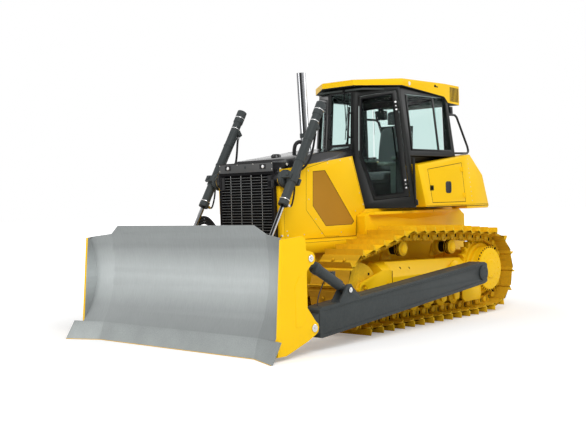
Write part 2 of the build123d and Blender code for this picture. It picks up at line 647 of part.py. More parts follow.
def knuckles(foot, head, radius, places, length):
    """Round hinge knuckles along the line from foot to head, at distances up the line."""
    up = (Vector(*head) - Vector(*foot)).normalized()
    pieces = [bar(tuple(Vector(*foot) + up * (z - length / 2)), tuple(Vector(*foot) + up * (z + length / 2)), radius)
              for z in places]
    return pieces


def operator_seat():
    """Pedestal, cushion, armrests and leaning backrest."""
    floor = CAB_FLOOR + 60
    pedestal = block(600, 860, -190, 190, floor, 1760)
    cushion = block(520, 1010, -250, 250, 1760, 1880)
    back = side_plate([(520, 1800), (560, 1880), (480, 2520), (380, 2520), (430, 1800)], -235, 235)
    head = side_plate([(478, 2540), (458, 2700), (378, 2700), (386, 2540)], -140, 140)
    stem = side_plate([(455, 2500), (445, 2560), (410, 2560), (412, 2500)], -60, 60)
    seat = pedestal + cushion + back + stem + head
    for y in (-300, 260):
        seat += block(540, 900, y, y + 40, 2010, 2060)
        seat += side_plate([(470, 1900), (545, 1900), (545, 2060), (440, 2060)], y, y + 40)
        seat += block(450, 520, min(y, y * 0.7), max(y + 40, y * 0.7), 1900, 1990)
    return seat


def control_console():
    """Side consoles with their levers and the instrument column ahead of the operator."""
    floor = CAB_FLOOR + 60
    pieces = []
    for side in (-1, 1):
        y = side * 440
        box = side_plate([(560, floor), (1080, floor), (1060, 1900), (900, 1980), (560, 1960)], y - 80, y + 80)
        lever = bar((960, y, 1940), (985, y, 2090), 11) + bar((980, y, 2060), (989, y, 2130), 24)
        pieces.append(box + lever)
    column = side_plate([(1370, floor), (1560, floor), (1590, 2080), (1500, 2180), (1430, 2110)], -165, 165)
    pieces.append(column)
    return pieces


def hoop(points, radius, bend):
    """A bent round rail through points, mitred twice at each bend."""
    points = [Vector(*point) for point in points]
    path = [points[0]]
    for before, corner, after in zip(points, points[1:], points[2:]):
        path += [corner + (end - corner).normalized() * bend for end in (before, after)]
    path.append(points[-1])
    return sweep(Plane(path[0], z_dir=path[1] - path[0]) * Circle(radius), path=Polyline(*path),
                 transition=Transition.RIGHT)


def handrails():
    """Rear hoops at the cab's corners and the upright handles on its front posts."""
    rise_top, rise_low = 2655, 2125
    y_top, y_low = cab_plan(rise_top)[1][1] - 45, cab_plan(rise_low)[1][1] - 45
    back_top, back_low = cab_plan(rise_top)[2][0], cab_plan(rise_low)[2][0]
    rail = hoop([(back_top - 1, y_top, rise_top), (-25, y_top, rise_top - 5), (-262, (y_top + y_low) / 2, 2200),
                 (-215, y_low, rise_low + 6), (back_low - 1, y_low, rise_low)], 15, 30)
    screen_top, screen_low = cab_plan(2640)[0], cab_plan(2330)[0]
    out = 52
    grab = hoop([(screen_top[0] + 1, screen_top[1] - 60, 2640), (screen_top[0] + out, screen_top[1] - 60, 2640),
                 (screen_low[0] + out, screen_low[1] - 60, 2330), (screen_low[0] + 1, screen_low[1] - 60, 2330)],
                11, 18)
    return [rail, mirrored(rail), grab, mirrored(grab)]


def work_lamps():
    """Lamps hung under the roof's rear corners, each on a flat bracket."""
    under = slope(18, *roof_line) - RUN_GAP
    bracket = block(18, 62, 548, 592, under - 34, under)
    housing = side_plate([(2, under - 150), (52, under - 160), (70, under - 44), (66, under - 34), (8, under - 34)],
                         505, 635)
    lamp = bracket + housing
    return [lamp, mirrored(lamp)]


def head_lamps():
    """Lamps set in the recesses of the nose bar."""
    return [Pos(NOSE_FRONT - 7, side * 285, 1940) * Box(10, 94, 54) for side in (-1, 1)]


def exhaust_stack():
    """Leaning pipe on a flange that lies on the hood, open at the top."""
    foot_x = STACK[0] - 50
    foot_z = slope(foot_x, *hood_line)
    rise = Vector(HOOD_REAR - NOSE_FRONT, 0, HOOD_REAR_TOP - NOSE_TOP).normalized()
    normal = Vector(rise.Z, 0, -rise.X)
    flange = Plane((foot_x, STACK[1], foot_z), z_dir=normal) * extrude(Circle(STACK_R + 42), 14)
    muffler_neck = bar((foot_x, STACK[1], foot_z + 12), (foot_x + 4, STACK[1], foot_z + 85), STACK_R + 12)
    pipe = bar((foot_x, STACK[1], foot_z + 12), (STACK[0], STACK[1], STACK_TOP), STACK_R)
    bore = bar((STACK[0] - 12, STACK[1], STACK_TOP - 230), (STACK[0] + 1, STACK[1], STACK_TOP + 20), STACK_R - 4)
    return flange + muffler_neck + pipe - bore


# ---------------------------------------------------------------- fenders
fender_outline = [(1030, 1420), (1197, 1950), (-19, 2105), (-331, 1829), (-485, 1408), (-457, FENDER_LOW), (60, FENDER_LOW),
                  (85, 1420)]
service_outline = [(880, 1470), (980, 1900), (190, 1992), (105, 1470)]


def fender(side):
    """Fuel tank and battery box that form the fender, with a recess for the service door."""
    body = side_plate(fender_outline, FENDER_INNER, FENDER_OUTER)
    body -= side_plate([(x, z) for x, z in service_outline], FENDER_OUTER - 30, FENDER_OUTER + 1)
    body -= block(CAB_REAR - 20, 1300, FENDER_INNER - 1, FENDER_OUTER + 1, CAB_SPLIT - RUN_GAP, 2200)
    return body if side > 0 else mirrored(body)


KNUCKLE_R = 9


def service_hinge_line():
    """Foot and head of the service door's hinge axis, along the rear seam."""
    (foot_x, foot_z), (head_x, head_z) = service_outline[3], service_outline[2]
    y = FENDER_OUTER + KNUCKLE_R + RUN_GAP
    return (foot_x, y, foot_z), (head_x, y, head_z)


def service_door(side):
    face = Plane.XZ * offset(make_face(Polyline(*service_outline, close=True)), -5, kind=Kind.INTERSECTION)
    leaf = Pos(0, FENDER_OUTER, 0) * extrude(face, 24)
    foot, head = service_hinge_line()
    for knuckle in knuckles(foot, head, KNUCKLE_R, (90, 440), 70):
        leaf += knuckle
    up = (Vector(*head) - Vector(*foot)).normalized()
    for place in (90, 440):
        middle = Vector(*foot) + up * place
        leaf += block(middle.X + 5, middle.X + 46, FENDER_OUTER + RUN_GAP, FENDER_OUTER + KNUCKLE_R,
                      middle.Z - 28, middle.Z + 28)
        leaf += block(middle.X + 14, middle.X + 46, FENDER_OUTER - 1, FENDER_OUTER + 1, middle.Z - 28, middle.Z + 28)
    return leaf if side > 0 else mirrored(leaf)


# ---------------------------------------------------------------- push beams
tilt_y = PIN_Y - TILT_INSET
LOWER_PIN_R = 30
UPPER_PIN_R = 26
LOWER_PLAY = 6             # ahead of each pin in its eye, taken up as the blade tilts
UPPER_PLAY = 8
CLEVIS_BALL_R = 40
CLEVIS_PIN_R = 24


def ball(pin, y, radius):
    return Pos(pin[0], y, pin[1]) * Sphere(radius)


def eye_bore(pin, radius, play, y0, y1):
    """Bore that bears on the pin's rear side and leaves play ahead of it."""
    return cross_bar(pin[0] + play, pin[1], radius + play + RUN_GAP, y0 - 1, y1 + 1)


def push_beam(side):
    """Box beam: trunnion socket behind, a deep end plate and a pin eye in front, tilt clevis on top."""
    outline = [(730, 446), (3860, 140), (3895, 150), (3895, 430), (3850, 452), (730, 714), (668, 690), (668, 470)]
    box = side_plate(outline, BEAM_INNER, BEAM_OUTER)
    socket = cross_bar(*TRUNNION, SOCKET_R, BEAM_INNER, BEAM_OUTER)
    eye = cross_bar(LOWER_PIN[0], LOWER_PIN[1], LUG_R - 4, PIN_Y - 42, PIN_Y + 42)
    neck = side_plate([(3880, 190), (LOWER_PIN[0], LOWER_PIN[1] - LUG_R + 4), (LOWER_PIN[0], LOWER_PIN[1] + LUG_R - 4),
                       (3880, 400)], PIN_Y - 42, PIN_Y + 42)
    clevis = ears([(3600, 440), (3560, 500), (CLEVIS_PIN[0] + 62, CLEVIS_PIN[1] + 20),
                   (CLEVIS_PIN[0] + 30, CLEVIS_PIN[1] + 62), (CLEVIS_PIN[0] - 30, CLEVIS_PIN[1] + 62),
                   (CLEVIS_PIN[0] - 62, CLEVIS_PIN[1] + 20), (3240, 520), (3230, 480)], tilt_y, CLEVIS_GAP, 22)
    body = box + socket + eye + neck + clevis
    body += cross_bar(*CLEVIS_PIN, CLEVIS_PIN_R, tilt_y - 72, tilt_y + 72) + ball(CLEVIS_PIN, tilt_y, CLEVIS_BALL_R)
    body -= eye_bore(LOWER_PIN, LOWER_PIN_R, LOWER_PLAY, PIN_Y - 42, PIN_Y + 42)
    body -= cross_bar(TRUNNION[0], TRUNNION[1], TRUNNION_R + 1, BEAM_INNER - 1, BEAM_OUTER + 1)
    return body if side > 0 else mirrored(body)


def trunnion_caps():
    """The axle stubs that the beams turn on, each with its round cap."""
    stub = turned([(BEAM_INNER - 7, TRUNNION_R), (BEAM_OUTER + 3, TRUNNION_R), (BEAM_OUTER + 3, 92),
                   (BEAM_OUTER + 14, 92), (BEAM_OUTER + 20, 84), (BEAM_OUTER + 20, 60)], *TRUNNION)
    return both_sides(stub)


# ---------------------------------------------------------------- tilt cylinders
tilt_run = Vector(UPPER_PIN[0] - CLEVIS_PIN[0], 0, UPPER_PIN[1] - CLEVIS_PIN[1])
tilt_dir = tilt_run.normalized()


def on_tilt(distance, y=tilt_y):
    return (CLEVIS_PIN[0] + tilt_dir.X * distance, y, CLEVIS_PIN[1] + tilt_dir.Z * distance)


def tilt_barrel(side):
    eye = cross_bar(*CLEVIS_PIN, 52, tilt_y - 28, tilt_y + 28)
    neck = bar(on_tilt(20), on_tilt(150), 27)
    tube = bar(on_tilt(120), on_tilt(565), TILT_BARREL_R)
    body = eye + neck + tube
    body -= bar(on_tilt(190), on_tilt(600), TILT_ROD_R + 1)
    body -= ball(CLEVIS_PIN, tilt_y, CLEVIS_BALL_R + RUN_GAP)
    return body if side > 0 else mirrored(body)


def tilt_rod(side):
    length = tilt_run.length
    eye = cross_bar(*UPPER_PIN, 56, tilt_y - 34, tilt_y + 34)
    rod = bar(on_tilt(length - 30), on_tilt(260), TILT_ROD_R)
    body = eye + rod - eye_bore(UPPER_PIN, UPPER_PIN_R, UPPER_PLAY, tilt_y - 34, tilt_y + 34)
    return body if side > 0 else mirrored(body)


# ---------------------------------------------------------------- lift cylinders
lift_run = Vector(LIFT_EYE[0] - LIFT_TRUNNION[0], 0, LIFT_EYE[1] - LIFT_TRUNNION[1])
lift_dir = lift_run.normalized()


def on_lift(distance, y=LIFT_Y):
    return (LIFT_TRUNNION[0] + lift_dir.X * distance, y, LIFT_TRUNNION[1] + lift_dir.Z * distance)


YOKE_INNER = HOOD_HALF + RUN_GAP
YOKE_PIN_R = 20


def yoke_pins(radius, reach=112):
    centre = Vector(LIFT_TRUNNION[0], LIFT_Y, LIFT_TRUNNION[1])
    across = Vector(-lift_dir.Z, 0, lift_dir.X) * reach
    return bar(tuple(centre - across), tuple(centre + across), radius)


def lift_yoke(side):
    """Round plate that turns on the nose's side, with two arms that hold the barrel's pins."""
    plate = cross_bar(*LIFT_TRUNNION, BOSS_R - 3, YOKE_INNER, YOKE_INNER + 26)
    across = Vector(-lift_dir.Z, 0, lift_dir.X)
    body = plate
    for sign in (-1, 1):
        middle = Vector(LIFT_TRUNNION[0], 0, LIFT_TRUNNION[1]) + across * (sign * 84)
        arm = Pos(middle.X, (YOKE_INNER + LIFT_Y + 40) / 2, middle.Z) * Rotation(0, degrees(atan2(across.X, across.Z)), 0) \
            * Box(76, LIFT_Y + 40 - YOKE_INNER, 28)
        body += arm
    body -= yoke_pins(YOKE_PIN_R + 0.5)
    return body if side > 0 else mirrored(body)


def lift_barrel(side):
    """Barrel with a collar and side pins at the yoke, banded top cap and gland."""
    tube = bar(on_lift(-LIFT_TOP_LENGTH + 160), on_lift(LIFT_LOW_LENGTH), LIFT_BARREL_R)
    cap = bar(on_lift(-LIFT_TOP_LENGTH), on_lift(-LIFT_TOP_LENGTH + 160), LIFT_BARREL_R + 7)
    collar = bar(on_lift(-50), on_lift(50), LIFT_BARREL_R + 10)
    gland = bar(on_lift(LIFT_LOW_LENGTH - 60), on_lift(LIFT_LOW_LENGTH), LIFT_BARREL_R + 6)
    body = tube + cap + collar + gland + yoke_pins(YOKE_PIN_R)
    body -= bar(on_lift(-LIFT_TOP_LENGTH + 60), on_lift(LIFT_LOW_LENGTH + 1), LIFT_ROD_R + 1)
    return body if side > 0 else mirrored(body)


def lift_rod(side):
    length = lift_run.length
    rod = bar(on_lift(-180), on_lift(length - 40), LIFT_ROD_R)
    eye = cross_bar(*LIFT_EYE, 52, LIFT_Y - 25, LIFT_Y + 25)
    pin = cross_bar(*LIFT_EYE, 28, LIFT_Y - 31, LIFT_Y + 31)
    body = rod + eye + pin
    return body if side > 0 else mirrored(body)


# ---------------------------------------------------------------- blade
CENTRE_TOP = 1306
CENTRE_HALF = 1097
WING_JOINT = 1252
EDGE_TOP = 200
# moldboard sections: y, top x, top z, deepest x, its z, foot x
sections = [(WING_JOINT, 4402, CENTRE_TOP, 4345, 740, 4520), (END_PLATE_OUTER - END_PLATE, 4470, 1170, 4386, 780, 4590)]
BOARD = 24


def board_face(section):
    y, top_x, top_z, deep_x, deep_z, foot_x = section
    front = ThreePointArc((top_x, top_z), (deep_x, deep_z), (foot_x, EDGE_TOP))
    back = ThreePointArc((foot_x - BOARD, EDGE_TOP), (deep_x - BOARD, deep_z), (top_x - BOARD, top_z))
    outline = front + Line((foot_x, EDGE_TOP), (foot_x - BOARD, EDGE_TOP)) + back + Line((top_x - BOARD, top_z),
                                                                                        (top_x, top_z))
    return Plane((0, y, 0), x_dir=(1, 0, 0), z_dir=(0, -1, 0)) * make_face(outline)


def blade():
    """Curved moldboard with wings, end plates with pin lugs, and the box stiffeners behind."""
    centre = extrude(board_face(sections[0]), 2 * WING_JOINT)
    wing = loft([board_face(section) for section in sections], ruled=True)
    board = centre + wing + mirrored(wing)
    trim = front_plate([(CENTRE_HALF, CENTRE_TOP), (WING_JOINT, 1212), (END_PLATE_OUTER, 1172),
                        (END_PLATE_OUTER, CENTRE_TOP + 50), (CENTRE_HALF, CENTRE_TOP + 50)], 4200, 4700)
    board = board - trim - mirrored(trim)
    upper = [(UPPER_PIN[0] + LUG_R * cos(t), UPPER_PIN[1] + LUG_R * sin(t)) for t in
             (radians(a) for a in (90, 125, 160, 195, 230, 270))]
    lower = [(LOWER_PIN[0] + LUG_R * cos(t), LOWER_PIN[1] + LUG_R * sin(t)) for t in
             (radians(a) for a in (110, 145, 180, 215, 250))]
    outline = [(4495, 1170), (4200, 1192), (4158, 1165), (4152, 1050)] + upper + [(4150, 840), (4150, 480)] \
        + lower + [(4155, 150), (4346, 86), (4475, 46), (4600, 46), (4577, 201)]
    plate = side_plate(outline, END_PLATE_OUTER - END_PLATE, END_PLATE_OUTER)
    inner_y = 2 * PIN_Y - (END_PLATE_OUTER - END_PLATE)
    inner_lug = side_plate([(4370, 1080), (4152, 1050)] + upper + [(4150, 840), (4150, 480)] + lower
                           + [(4155, 165), (4480, 165), (4392, 480), (4342, 840)], inner_y - 28, inner_y)
    body = board
    pins = [cross_bar(*LOWER_PIN, LOWER_PIN_R, inner_y - 36, END_PLATE_OUTER + 8),
            cross_bar(*UPPER_PIN, UPPER_PIN_R, inner_y - 36, END_PLATE_OUTER + 8)]
    for piece in [plate, inner_lug] + pins:
        body = body + piece + mirrored(piece)
    top, deep, foot = sections[0][1:3], sections[0][3:5], (sections[0][5], EDGE_TOP)
    half_board = [(x - BOARD / 2, z) for x, z in (top, deep, foot)]
    ahead = ThreePointArc(*half_board) + Polyline(half_board[2], (4900, 0), (4900, 1500), half_board[0])
    ahead = Pos(0, 1500, 0) * extrude(Plane.XZ * make_face(ahead), 3000)
    for z0, z1, x0 in ((215, 420, 4235), (1010, 1150, 4215)):
        body += block(x0, foot[0], -inner_y + 5, inner_y - 5, z0, z1) - ahead
    board_middle = sections[0][3] - BOARD / 2
    ear = side_plate([(board_middle, 560), (board_middle, 1010), (4235, 1010), (LIFT_EYE[0] - 30, LIFT_EYE[1] + 66),
                      (LIFT_EYE[0] - 66, LIFT_EYE[1] + 30), (LIFT_EYE[0] - 66, LIFT_EYE[1] - 30),
                      (LIFT_EYE[0] - 30, LIFT_EYE[1] - 66), (4240, 415)], -15, 15)
    for side in (-1, 1):
        for place in (-1, 1):
            body += Pos(0, side * LIFT_Y + place * 85, 0) * ear
    for y in (0, 1040, -1040):
        body += side_plate([(4350, 420), (4240, 420), (4220, 1010), (board_middle, 1010), (4330, 760)],
                           y - 10, y + 10)
    return body


EDGE_RUN = 66              # how far the centre edge's tip lies ahead of its top
BIT_RUN = 128              # the same at the outer end of an end bit


def edge_section(x, tip, y):
    """Section of the edge plate at y: bolted along x at its top, with its tip on the ground."""
    seat = EDGE_TOP - RUN_GAP
    outline = [(x, EDGE_TOP + 4), (tip, EDGE_CLEARANCE), (tip - EDGE_PLATE, EDGE_CLEARANCE),
               (x - EDGE_PLATE, seat), (x - 1, seat)]
    return Plane((0, y, 0), x_dir=(1, 0, 0), z_dir=(0, -1, 0)) * make_face(Polyline(*outline, close=True))


def cutting_edge():
    """Bolted centre edge and the two end bits that run on past the end plates."""
    seat_x = sections[0][5] + 2
    middle = edge_section(seat_x, seat_x + EDGE_RUN, WING_JOINT)
    bit = loft([middle, edge_section(BLADE_TIP_X - BIT_RUN, BLADE_TIP_X, BLADE_TIP_Y)], ruled=True)
    return extrude(middle, 2 * WING_JOINT) + bit + mirrored(bit)


# ---------------------------------------------------------------- write the nodes
def pair(make):
    """The same pieces made for the left and for the right."""
    made = [make(1), make(-1)]
    return made[0] + made[1] if isinstance(made[0], list) else made


save("main_frame", main_frame())
save("engine_block", block(HOOD_REAR + 80, NOSE_BACK - 255, -300, 300, RAIL_TOP + RUN_GAP, NOSE_TOP - 93))
save("radiator_core", radiator_core())
save("nose_frame", nose())
save("grille_door", grille_door())
save("hood_top", hood_top())
save("side_panels", pair(side_panel))
save("sprockets", pair(sprocket))
save("idlers", pair(idler))
save("track_rollers", pair(rollers))
save("carrier_rollers", pair(carriers))
save("track_frames", pair(track_frame))
save("fender_tanks", pair(fender))
save("cab_frame", cab_frame())
save("cab_glass", cab_glass())
save("cab_roof", cab_roof())
save("trunnion_caps", trunnion_caps())
save("blade", blade())
save("cutting_edge", cutting_edge())
save("exhaust_stack", exhaust_stack())
save("operator_seat", operator_seat())
save("control_console", control_console())
save("handrails", handrails())
save("lamps", work_lamps() + head_lamps())
for name, side in {"left": 1, "right": -1}.items():
    leaf, pane = cab_door(side)
    save(f"cab_door_{name}", leaf)
    save(f"cab_door_glass_{name}", pane)
    save(f"track_{name}", track(side))
    save(f"service_door_{name}", service_door(side))
    save(f"push_beam_{name}", push_beam(side))
    save(f"tilt_barrel_{name}", tilt_barrel(side))
    save(f"tilt_rod_{name}", tilt_rod(side))
    save(f"lift_yoke_{name}", lift_yoke(side))
    save(f"lift_barrel_{name}", lift_barrel(side))
    save(f"lift_rod_{name}", lift_rod(side))
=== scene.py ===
import json
from math import atan2, cos, hypot, pi, radians, sin
import bmesh
import bpy
from mathutils import Matrix, Vector


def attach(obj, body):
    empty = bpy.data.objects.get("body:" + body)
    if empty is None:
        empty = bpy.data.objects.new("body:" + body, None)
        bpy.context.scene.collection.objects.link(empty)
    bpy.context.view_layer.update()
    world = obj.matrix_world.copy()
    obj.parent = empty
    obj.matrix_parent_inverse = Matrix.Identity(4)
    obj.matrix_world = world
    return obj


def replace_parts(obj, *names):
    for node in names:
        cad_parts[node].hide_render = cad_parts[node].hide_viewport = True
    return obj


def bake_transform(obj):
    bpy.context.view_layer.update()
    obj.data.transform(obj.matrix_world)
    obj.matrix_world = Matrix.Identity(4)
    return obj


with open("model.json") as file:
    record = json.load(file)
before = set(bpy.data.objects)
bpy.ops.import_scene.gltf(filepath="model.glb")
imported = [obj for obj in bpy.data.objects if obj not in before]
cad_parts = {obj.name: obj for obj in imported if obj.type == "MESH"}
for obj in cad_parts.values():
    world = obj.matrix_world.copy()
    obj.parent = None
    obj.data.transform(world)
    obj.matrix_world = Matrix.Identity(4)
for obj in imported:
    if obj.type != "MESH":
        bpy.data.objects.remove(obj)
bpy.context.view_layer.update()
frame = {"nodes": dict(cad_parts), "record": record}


# ------------------------ studio
# The machine stands on a pale seamless floor under broad soft lights, and is seen
# from ahead of its left front corner with a long lens held at a person's height.
def at(x, y, z):
    """A place given in millimetres from the sprocket axle, the middle line and the ground."""
    return Vector(((x - 1970) / 1000, y / 1000, z / 1000))


def add(name, data):
    """A new object in the scene."""
    made = bpy.data.objects.new(name, data)
    bpy.context.scene.collection.objects.link(made)
    return made


turn, dip, roll = radians(42.494), radians(0.987), radians(-1.510)
ahead = Vector((-cos(turn) * cos(dip), -sin(turn) * cos(dip), -sin(dip)))
right = Vector((-sin(turn), cos(turn), 0))
above = right.cross(ahead)
right, above = (right * cos(roll) + above * sin(roll)), (above * cos(roll) - right * sin(roll))
camera = add("studio_camera", bpy.data.cameras.new("studio_camera"))
camera.matrix_world = Matrix.Translation((9.309, 7.953, 1.548)) @ Matrix((right, above, -ahead)).transposed().to_4x4()
camera.data.sensor_width, camera.data.lens, camera.data.clip_end = 36, 59.52, 200
bpy.context.scene.camera = camera
bpy.context.scene.view_settings.view_transform = "Standard"


def node(tree, kind, sockets=None, **props):
    """Adds a shader node with its properties, and feeds or sets its inputs by name or number."""
    made = tree.nodes.new("ShaderNode" + kind)
    for name, value in props.items():
        setattr(made, name, value)
    for name, value in (sockets or {}).items():
        if isinstance(value, bpy.types.NodeSocket):
            tree.links.new(value, made.inputs[name])
        else:
            made.inputs[name].default_value = value
    return made


def result(tree, operation, *values, **props):
    """The result of a math node on some values or sockets."""
    return node(tree, "Math", dict(enumerate(values)), operation=operation, **props).outputs[0]


def vector_result(tree, operation, *values, output="Vector"):
    """The result of a vector math node on some vectors or sockets."""
    return node(tree, "VectorMath", dict(enumerate(values)), operation=operation).outputs[output]


def ranged(tree, value, low, high, to_low=0.0, to_high=1.0):
    """A value carried from one range to another."""
    return node(tree, "MapRange", {"Value": value, "From Min": low, "From Max": high, "To Min": to_low,
                                   "To Max": to_high}).outputs[0]


def place_in(tree):
    """The place of the shaded point in its piece."""
    return node(tree, "TexCoord").outputs["Object"]


def seen_directly(tree):
    """1 for rays from the camera, mirror reflections and what shows through glass."""
    path = node(tree, "LightPath").outputs
    either = result(tree, "MAXIMUM", path["Is Camera Ray"], path["Is Glossy Ray"])
    return result(tree, "MAXIMUM", either, path["Is Transmission Ray"])


world = bpy.data.worlds.new("studio")
bpy.context.scene.world = world
world.use_nodes = True
world.node_tree.nodes.clear()
strength = ranged(world.node_tree, seen_directly(world.node_tree), 0.0, 1.0, 0.44, 1.0)
sky = node(world.node_tree, "Background", {"Color": (1, 1, 1, 1), "Strength": strength})
node(world.node_tree, "OutputWorld", {"Surface": sky.outputs[0]})

bpy.ops.mesh.primitive_plane_add(size=160, location=(0, 0, -0.001))
floor = bpy.context.object
floor.name = "studio_floor"
paving = bpy.data.materials.new("studio_floor")
paving.use_nodes = True
tree = paving.node_tree
tree.nodes.clear()
matte = node(tree, "BsdfDiffuse", {"Color": (0.86, 0.86, 0.86, 1)})
# The camera sees less glow on the floor within a few metres of the machine. This paints the floor darker round it and
# lets its shadow show; further off the glow rises to white.
reach = vector_result(tree, "LENGTH", place_in(tree), output="Value")
lift = result(tree, "MULTIPLY", seen_directly(tree), ranged(tree, reach, 3.0, 8.0, 0.24, 1.0))
glow = node(tree, "Emission", {"Strength": lift})
both = node(tree, "AddShader", {0: matte.outputs[0], 1: glow.outputs[0]})
node(tree, "OutputMaterial", {"Surface": both.outputs[0]})
floor.data.materials.append(paving)

for name, place, size, power in (("key_light", (7, 9, 9), 7, 960), ("front_light", (12, -3, 6), 6, 440),
                                 ("rear_light", (-9, 6, 8), 7, 400)):
    lamp = add(name, bpy.data.lights.new(name, "AREA"))
    lamp.data.size, lamp.data.energy = size, power
    lamp.location = place
    lamp.rotation_euler = (Vector((0, 0, 1)) - Vector(place)).to_track_quat("-Z", "Y").to_euler()


# ------------------------ hull and its paint
# The welded steel hull carries everything else. Its plates are sprayed yellow over
# primer, and the paint has a faint orange-peel skin and gathers dust near the ground.
def weathering_group():
    """Uneven tone, dust that thickens towards the ground, and a sprayed skin."""
    tree = bpy.data.node_groups.new("weathering", "ShaderNodeTree")
    for label, value in (("Color", (0.8, 0.8, 0.8, 1)), ("Dust Color", (0.3, 0.22, 0.14, 1)), ("Dust", 0.3),
                         ("Dust Height", 1.2), ("Tone", 0.06), ("Roughness", 0.4), ("Skin Scale", 260.0)):
        kind = "NodeSocketColor" if "Color" in label else "NodeSocketFloat"
        tree.interface.new_socket(label, in_out="INPUT", socket_type=kind).default_value = value
    for label, kind in (("Color", "Color"), ("Roughness", "Float"), ("Height", "Float")):
        tree.interface.new_socket(label, in_out="OUTPUT", socket_type="NodeSocket" + kind)
    given, out = tree.nodes.new("NodeGroupInput").outputs, tree.nodes.new("NodeGroupOutput").inputs
    place = place_in(tree)
    cloud = node(tree, "TexNoise", {"Vector": place, "Scale": 2.3, "Detail": 5.0}).outputs["Fac"]
    speck = node(tree, "TexNoise", {"Vector": place, "Scale": 34.0, "Detail": 8.0, "Roughness": 0.65}).outputs["Fac"]
    skin = node(tree, "TexNoise", {"Vector": place, "Scale": given["Skin Scale"], "Detail": 2.0}).outputs["Fac"]
    low = ranged(tree, node(tree, "SeparateXYZ", {0: place}).outputs["Z"], 0.0, given["Dust Height"], 1.0, 0.12)
    dusty = result(tree, "MULTIPLY", low, ranged(tree, speck, 0.42, 0.68))
    amount = result(tree, "MULTIPLY", dusty, given["Dust"])
    shade = result(tree, "MULTIPLY_ADD", ranged(tree, cloud, 0.3, 0.7, -1.0, 1.0), given["Tone"], 1.0)
    toned = node(tree, "HueSaturation", {"Color": given["Color"], "Value": shade}).outputs[0]
    colour = node(tree, "Mix", {0: amount, 6: toned, 7: given["Dust Color"]}, data_type="RGBA").outputs[2]
    rough = result(tree, "MULTIPLY_ADD", amount, 0.4, given["Roughness"], use_clamp=True)
    for label, source in (("Color", colour), ("Roughness", rough), ("Height", skin)):
        tree.links.new(source, out[label])
    return tree


weathering = weathering_group()


def finish_of(name, colour, roughness, dust, bump=0.05, distance=0.0006, feeds=None, **shader):
    """A material of weathered paint, metal, plastic or rubber, with the shader's own plain values."""
    material = bpy.data.materials.new(name)
    material.use_nodes = True
    tree = material.node_tree
    inputs = tree.nodes["Principled BSDF"].inputs
    inputs["Specular IOR Level"].default_value = 0.10
    wear_and_shade = node(tree, "Group", node_tree=weathering)
    for label, value in {"Color": (*colour, 1), "Roughness": roughness, "Dust": dust, **(feeds or {})}.items():
        wear_and_shade.inputs[label].default_value = value
    for label, value in shader.items():
        inputs[label.replace("_", " ")].default_value = value
    relief = node(tree, "Bump", {"Strength": bump, "Distance": distance, "Height": wear_and_shade.outputs["Height"]})
    for source, label in ((wear_and_shade.outputs["Color"], "Base Color"), (wear_and_shade.outputs["Roughness"], "Roughness"),
                          (relief.outputs[0], "Normal")):
        tree.links.new(source, inputs[label])
    return material


def select_only(*pieces):
    """Selects these pieces alone, the first of them active."""
    bpy.ops.object.select_all(action="DESELECT")
    for piece in pieces:
        piece.select_set(True)
    bpy.context.view_layer.objects.active = pieces[0]


def edit(piece):
    """Opens one piece for editing, with nothing in it selected."""
    select_only(piece)
    bpy.ops.object.mode_set(mode="EDIT")
    bpy.context.tool_settings.mesh_select_mode = (False, False, True)
    bpy.ops.mesh.select_all(action="DESELECT")


def modify(piece, kind, **settings):
    """Adds a modifier with these settings to the active piece and applies it."""
    modifier = piece.modifiers.new(kind, kind)
    for name, value in settings.items():
        setattr(modifier, name, value)
    bpy.ops.object.modifier_apply(modifier=kind)


def close(piece, width=0.002, segments=2, smooth=35):
    """Ends editing: edges broken by a bevel, and smooth shading up to an angle."""
    if piece.mode == "EDIT":
        bpy.ops.object.mode_set(mode="OBJECT")
    select_only(piece)
    if width:
        modify(piece, "BEVEL", width=width, segments=segments, limit_method="ANGLE", angle_limit=radians(30),
               harden_normals=False)
    bpy.ops.object.shade_smooth_by_angle(angle=radians(smooth))
    return piece


def fit(piece, body, material, slot, *nodes):
    """Gives a finished piece its material, the body it rides on and what it stands for. Its slot is not used."""
    piece.data.materials.clear()
    piece.data.materials.append(material)
    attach(piece, body)
    if nodes:
        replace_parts(piece, *nodes)
    return piece


body_of_node = {name: body for body, names in frame["record"]["behaviour"]["bodies"].items() for name in names}


def dress(name, material, slot, width=0.003, smooth=35, less=None):
    """A copy of a CAD node, merged, less a cutter and with its edges broken, that stands for the node."""
    piece = add(name + "_finished", frame["nodes"][name].data.copy())
    edit(piece)
    bpy.ops.mesh.select_all(action="SELECT")
    bpy.ops.mesh.remove_doubles(threshold=0.00002)
    bpy.ops.object.mode_set(mode="OBJECT")
    if less:
        modify(piece, "BOOLEAN", object=less, operation="DIFFERENCE", solver="EXACT")
        bpy.data.objects.remove(less)
    edit(piece)
    bpy.ops.mesh.select_all(action="SELECT")
    bpy.ops.mesh.dissolve_limited(angle_limit=radians(0.6))
    return fit(close(piece, width, smooth=smooth), body_of_node[name], material, slot, name)


yellow = finish_of("yellow_paint", (0.95, 0.575, 0.005), 0.40, 0.06, feeds={"Tone": 0.02})
dress("main_frame", yellow, "yellow_paint")


